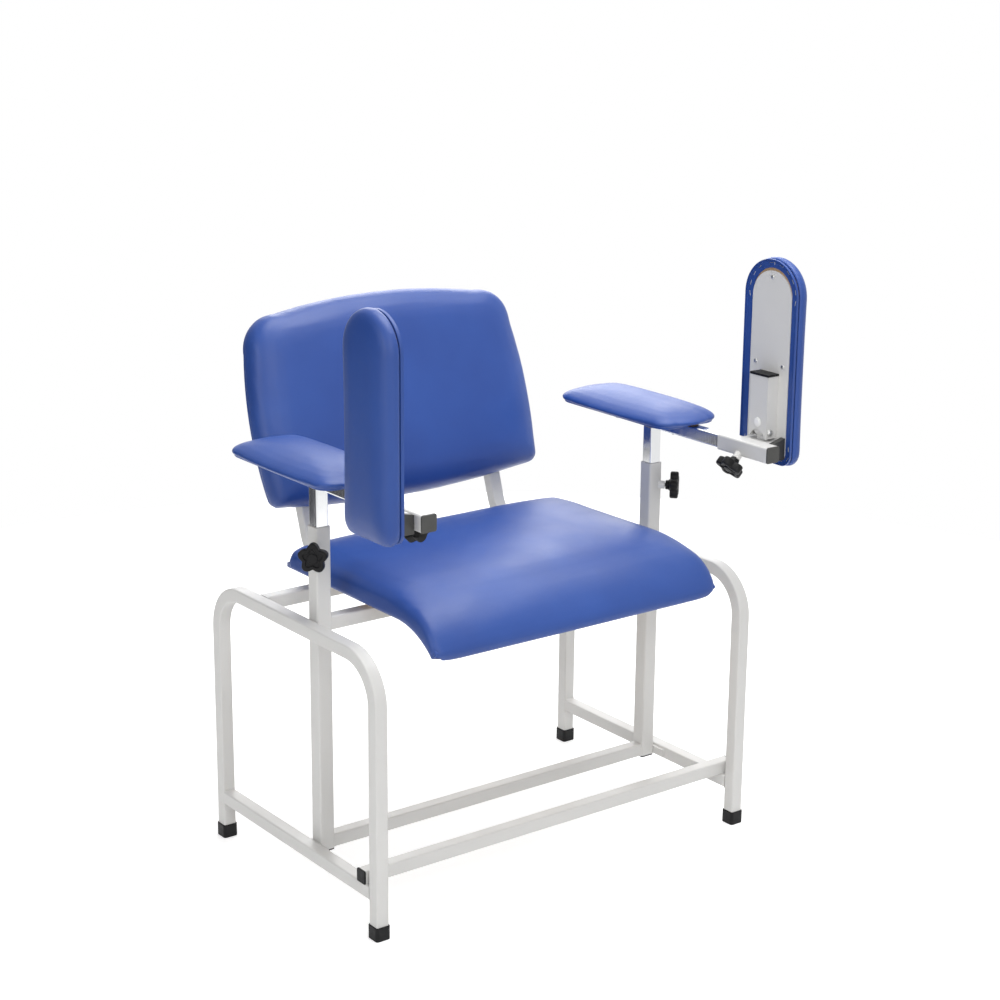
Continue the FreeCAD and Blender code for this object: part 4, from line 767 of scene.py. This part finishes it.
def turned(profile, steps=32):
    """A shape from a profile in millimetres, spun about the Z axis."""
    made = bmesh.new()
    places = [made.verts.new((radius * MM, 0, height * MM)) for radius, height in profile]
    edges = [made.edges.new(pair) for pair in zip(places, places[1:])]
    bmesh.ops.spin(made, geom=places + edges, axis=(0, 0, 1), angle=math.tau, steps=steps, use_merge=True)
    bmesh.ops.remove_doubles(made, verts=made.verts, dist=0.005 * MM)
    bmesh.ops.recalc_face_normals(made, faces=made.faces)
    return made


def raise_outline(made, height):
    """Extrude a flat outline that lies on the origin."""
    top = points(bmesh.ops.extrude_face_region(made, geom=made.faces[:])["geom"])
    bmesh.ops.translate(made, verts=top, vec=(0, 0, height * MM))
    bmesh.ops.recalc_face_normals(made, faces=made.faces)


def stand(made, foot, along):
    """Move a shape that stands on the origin to its foot, pointing along a direction."""
    turn = Vector(along).to_track_quat("Z", "Y").to_matrix().to_4x4()
    bmesh.ops.transform(made, matrix=Matrix.Translation(foot) @ turn, verts=made.verts)
    return made


def joined(parts):
    """Several shapes as one."""
    whole = bmesh.new()
    carrier = bpy.data.meshes.new("carrier")
    for part in parts:
        part.to_mesh(carrier)
        part.free()
        whole.from_mesh(carrier)
    bpy.data.meshes.remove(carrier)
    return whole


def add_hard_piece(name, parts, body, slot, replaced=None):
    """Join hard shapes into a piece whose creases over 35 degrees stay sharp."""
    piece = add_piece(name, joined(parts), body, slot)
    piece.data.set_sharp_from_angle(angle=math.radians(35))
    if replaced:
        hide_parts(replaced)


# %% [markdown]
# ## Star knobs
#
# Each clamp is tightened by a moulded knob with five fingers. Seen along its axis the
# outline swings between 27 mm at the fingers and 20 mm in the valleys, and a cosine gives
# just that: take a circle of a hundred points and push each one in or out by its angle.
# Then it is extruded, its rims are rounded, and the middle of the face is sunk for a cap.

# %% Shape the star
FINGERS = 5
VALLEY_RADIUS = 19.5
FINGER_REACH = 7.5
HEAD_HEIGHT = 16


def star():
    """The knob's head, standing on the origin."""
    head = bmesh.new()
    bmesh.ops.create_circle(head, cap_ends=True, radius=1, segments=100)
    for vertex in head.verts:
        angle = math.atan2(vertex.co.y, vertex.co.x)
        swing = 0.5 + 0.5 * math.cos(FINGERS * angle)
        vertex.co *= (VALLEY_RADIUS + FINGER_REACH * swing ** 0.7) * MM
    raise_outline(head, HEAD_HEIGHT)
    rims = [edge for edge in head.edges if abs(edge.verts[0].co.z - edge.verts[1].co.z) < 0.1 * MM]
    rounded_off(head, rims, 3.2, 4)
    face = max(head.faces, key=lambda each: each.calc_center_median().z + each.calc_area())
    sunk = bmesh.ops.extrude_discrete_faces(head, faces=[face])["faces"][0]
    bmesh.ops.scale(head, verts=sunk.verts, vec=(0.78, 0.78, 1))
    lower = bmesh.ops.extrude_discrete_faces(head, faces=[sunk])["faces"][0]
    bmesh.ops.scale(head, verts=lower.verts, vec=(0.9, 0.9, 1))
    bmesh.ops.translate(head, verts=lower.verts, vec=(0, 0, -2.2 * MM))
    return head


# %% Build the four knobs
COLLAR = [(0, 29), (8.2, 29), (9, 29.8), (9.2, 34), (12.5, 38.3), (12.5, 39.5), (0, 39.5)]
HUB = [(0, 50), (9.5, 50), (9.5, 53), (8.6, 54), (0, 54.4)]
THREAD = [(0, 16.8)] + [(3.9 - 0.5 * (turn % 2), 16.8 + 0.6 * turn) for turn in range(28)] + [(0, 33.6)]


def knob(name, body, foot, along, turn):
    """A star knob on its threaded stud; the foot is the middle of the tube it clamps."""
    head = star()
    bmesh.ops.rotate(head, verts=head.verts, matrix=Matrix.Rotation(math.radians(turn), 3, "Z"))
    bmesh.ops.translate(head, verts=head.verts, vec=(0, 0, 38 * MM))
    moulding = [stand(part, foot, along) for part in (head, turned(COLLAR), turned(HUB))]
    add_hard_piece(f"{name}_star", moulding, body, "black_plastic", name)
    add_hard_piece(f"{name}_stud", [stand(turned(THREAD, 20), foot, along)], body, "zinc")


POST_Y = -41.9
for side, sign in SIDES.items():
    on_post = Vector((sign * POST_X, POST_Y, 634)) * MM
    knob(f"height_knob_{side}", f"height_clamp_{side}", on_post, (sign, -1, 0), 90)
    in_sleeve = Vector((sign * POST_X, -297.4, 762)) * MM
    knob(f"reach_knob_{side}", f"reach_clamp_{side}", in_sleeve, (-sign, 0, -1), 0)
print("4 star knobs")

# %% [markdown]
# ## Bolts and screws
#
# The boards are held from below by hexagon bolts on washers, and the steel plates by
# pan-head screws with a cross recess. The recess is real here: a four-pointed loop is
# bridged to the open top of the head and then pushed down, narrowing as it goes.

# %% A hexagon bolt and a cross-head screw


def hexagon(across, height):
    """A hexagon prism on the origin with its upper edges eased."""
    made = bmesh.new()
    bmesh.ops.create_circle(made, cap_ends=True, radius=across / math.sqrt(3) * MM, segments=6)
    raise_outline(made, height)
    upper = [edge for edge in made.edges if min(end.co.z for end in edge.verts) > 0.5 * height * MM]
    rounded_off(made, upper, 0.5, 2)
    return made


SHANK = [(0, -33), (2.4, -33), (3, -32.4), (3, 0)]
WASHER = [(5.9, 0), (5.9, 0.8), (3, 0.9), (0, 0.9)]
SCREW = [(0, -7), (1.8, -6.6), (1.8, 0), (4, 0), (4, 0.8), (3.3, 1.7), (2.6, 2.0)]


def bolt(foot, along):
    """A washer with its shank behind, and the hexagon head on it."""
    washer = turned(SHANK + WASHER, 24)
    head = hexagon(9.4, 2.4)
    bmesh.ops.translate(head, verts=head.verts, vec=(0, 0, 0.9 * MM))
    return [stand(part, foot, along) for part in (washer, head)]


def cross_screw(foot, along):
    """A pan-head screw with a real cross recess."""
    made = turned(SCREW, 16)
    rim = [edge for edge in made.edges if edge.is_boundary]
    loop = bmesh.ops.create_circle(made, radius=1, segments=16)["verts"]
    for place, vertex in enumerate(loop):
        vertex.co *= (2.1, 1.0, 0.62, 1.0)[place % 4] * MM
        vertex.co.z = 2.0 * MM
    cross = [edge for edge in made.edges if all(end in loop for end in edge.verts)]
    bmesh.ops.bridge_loops(made, edges=rim + cross)
    deep = points(bmesh.ops.extrude_edge_only(made, edges=cross)["geom"])
    bmesh.ops.scale(made, verts=deep, vec=(0.45, 0.45, 1))
    bmesh.ops.translate(made, verts=deep, vec=(0, 0, -1.1 * MM))
    bmesh.ops.holes_fill(made, edges=[edge for edge in made.edges if edge.is_boundary], sides=0)
    bmesh.ops.recalc_face_normals(made, faces=made.faces)
    return [stand(made, foot, along)]


# %% Fit the bolts
BAR_UNDER_Z = 513
SEAT_BOLTS_Y = (-101.4, 48.6)
BACK_BOLTS = ((313.77, 731.41), (369.39, 902.6))
ARM_TUBE_UNDER_Z = 749.5
ARM_BOLTS_Y = (-106.4, 58.6)
frame_bolts = []
for sign in SIDES.values():
    for y in SEAT_BOLTS_Y:
        frame_bolts += bolt(Vector((sign * BAR_X, y, BAR_UNDER_Z)) * MM, DOWN)
    for y, z in BACK_BOLTS:
        frame_bolts += bolt(Vector((sign * BAR_X, y, z)) * MM, AWAY)
add_hard_piece("frame_bolts", frame_bolts, "frame", "zinc", "cushion_bolts")
for side, sign in SIDES.items():
    arm_bolts = []
    for y in ARM_BOLTS_Y:
        arm_bolts += bolt(Vector((sign * POST_X, y, ARM_TUBE_UNDER_Z)) * MM, DOWN)
    add_hard_piece(f"arm_hex_bolts_{side}", arm_bolts, f"armrest_{side}", "zinc", f"arm_bolts_{side}")
print(len(frame_bolts) // 2, "bolts on the frame and 2 on each armrest")

# %% Fit the plates' screws and the hinge pins
PLATE_X = 426.8
SCREW_PLACES = ((-303.4, 1072), (-338.4, 912), (-268.4, 912))
PIVOT_X, PIVOT_Z = 410.5, 789.2
PIN_HEAD_Y, PIN_NUT_Y = -329.4, -283.4
PIN_SHAFT = [(0, -50), (3.2, -50), (4, -49.2), (4, 0)]
PIN_HEAD = [(6.5, 0), (6.4, 1.4), (5.4, 2.9), (3.4, 3.8), (0, 4)]
for side, sign in SIDES.items():
    screws = []
    for y, z in SCREW_PLACES:
        screws += cross_screw(Vector((sign * PLATE_X, y, z)) * MM, (-sign, 0, 0))
    add_hard_piece(f"cross_screws_{side}", screws, f"flip_arm_{side}", "zinc", f"plate_screws_{side}")
    pivot = [
        stand(turned(PIN_SHAFT + PIN_HEAD), Vector((sign * PIVOT_X, PIN_HEAD_Y, PIVOT_Z)) * MM, (0, -1, 0)),
        stand(hexagon(11.2, 3.4), Vector((sign * PIVOT_X, PIN_NUT_Y, PIVOT_Z)) * MM, (0, 1, 0)),
    ]
    add_hard_piece(f"pivot_bolt_{side}", pivot, f"flip_arm_{side}", "zinc", f"hinge_pin_{side}")
print("3 screws in each plate, and a pin in each hinge")

# %% [markdown]
# ## Lugs on the back bars
#
# The upper bolts of the back pass just above the ends of its two bars. On each bar a steel
# strap is welded that steps in by its own thickness past the end cap, and the bolt goes
# through that strap and a spacer tube. The strap is a row of quads with a thickness.

# %% Bend the straps and cut the spacers
SLOPE_FOOT_Y, SLOPE_FOOT_Z = 252.9, 625
STRAP_BENDS = ((264, -28), (292.6, -28), (293.8, -25), (312, -25))
SPACER = [(3.2, -22), (5.5, -22), (5.5, 0), (3.2, 0), (3.2, -22)]


def on_slope(x, up, out):
    """A place on the back's slope in millimetres: across, up along it, and out in front of it."""
    y = SLOPE_FOOT_Y + up * math.sin(SLOPE) - out * math.cos(SLOPE)
    z = SLOPE_FOOT_Z + up * math.cos(SLOPE) + out * math.sin(SLOPE)
    return Vector((x, y, z)) * MM


def strap(x):
    """A strap 22 mm wide, welded flat on the bar and stepped in past its cap."""
    made = bmesh.new()
    rows = [
        [made.verts.new(on_slope(x + side, up, out)) for side in (-11, 11)]
        for up, out in STRAP_BENDS
    ]
    for (left, right), (left_above, right_above) in zip(rows, rows[1:]):
        made.faces.new((left, right, right_above, left_above))
    rims = [edge for edge in made.edges if edge.is_boundary]
    tips = [edge for edge in rims if abs(edge.verts[0].co.x - edge.verts[1].co.x) > 20 * MM]
    corners = list({end for edge in tips for end in edge.verts})
    rounded_off(made, corners, 5, 4, "VERTICES")
    made.normal_update()
    inward = 1 if sum(face.normal.y for face in made.faces) > 0 else -1
    bmesh.ops.solidify(made, geom=made.faces[:], thickness=2.9 * MM * inward)
    bmesh.ops.recalc_face_normals(made, faces=made.faces)
    return made


add_hard_piece("bar_lugs", [strap(x) for x in (-BAR_X, BAR_X)], "frame", "powder_coat")
spacers = [stand(turned(SPACER, 24), on_slope(x, 300, -22.2), AWAY) for x in (-BAR_X, BAR_X)]
add_hard_piece("lug_spacers", spacers, "frame", "zinc")
print("2 lugs with their spacers")

# %% [markdown]
# ## Welds
#
# Where two tubes meet in an inner corner there is a bead of weld, and it is painted over
# with them. A bead is a thin rod whose radius ripples as the torch moved on, so it is one
# more turned shape, laid along the corner and half sunk into the steel. Seams between flush
# faces are ground flat in the shop, so they get none, and so are those on the armrests,
# whose posts slide down until the armrest's tube almost meets the post it slides in.

# %% Lay the beads
BEAD_LENGTH = 22
BEAD_RINGS = 20
RIPPLES = [(1.2 + 0.25 * (ring % 2), BEAD_LENGTH * ring / BEAD_RINGS) for ring in range(BEAD_RINGS + 1)]


def bead(middle, axis):
    """A rippled rod, its middle at a place in millimetres, along an axis."""
    rod = turned([(0, 0)] + RIPPLES + [(0, BEAD_LENGTH)], 8)
    bmesh.ops.translate(rod, verts=rod.verts, vec=(0, 0, -BEAD_LENGTH / 2 * MM))
    return stand(rod, Vector(middle) * MM, axis)


ALONG_X, ALONG_Y, ALONG_Z = (1, 0, 0), (0, 1, 0), (0, 0, 1)
BESIDE = (-12.5, 12.5)
LEG_X, LEG_FACES_Y = 411.5, (-258.9, 236.1)
RAIL_X, RAIL_Z, RAIL_TOP_Z = 399, 82.5, 95
STRETCHER_Y, REAR_TUBE_Y = -238.4, 114.6
POST_FACE_X, CROSS_TUBES_Z, SEAT_TUBE_Z = 363, (87.5, 500.5), 500.5
beads = []
for sign in SIDES.values():
    for y in LEG_FACES_Y:
        beads += [bead((sign * LEG_X, y, RAIL_Z + shift), ALONG_X) for shift in BESIDE]
    beads += [bead((sign * LEG_X, STRETCHER_Y + shift, RAIL_TOP_Z), ALONG_X) for shift in BESIDE]
    beads.append(bead((sign * RAIL_X, STRETCHER_Y, RAIL_TOP_Z), ALONG_Y))
    for z in CROSS_TUBES_Z:
        beads += [bead((sign * POST_FACE_X, POST_Y, z + shift), ALONG_Y) for shift in BESIDE]
        beads += [bead((sign * POST_FACE_X, POST_Y + shift, z), ALONG_Z) for shift in BESIDE]
    beads += [bead((sign * RAIL_X, REAR_TUBE_Y + shift, SEAT_TUBE_Z), ALONG_Z) for shift in BESIDE]
    for y in (POST_Y, REAR_TUBE_Y):
        beads += [bead((sign * (BAR_X + shift), y, BAR_UNDER_Z), ALONG_Y) for shift in BESIDE]
        beads += [bead((sign * BAR_X, y + shift, BAR_UNDER_Z), ALONG_X) for shift in BESIDE]
print(len(beads), "weld beads on the frame")
add_hard_piece("frame_welds", beads, "frame", "powder_coat")
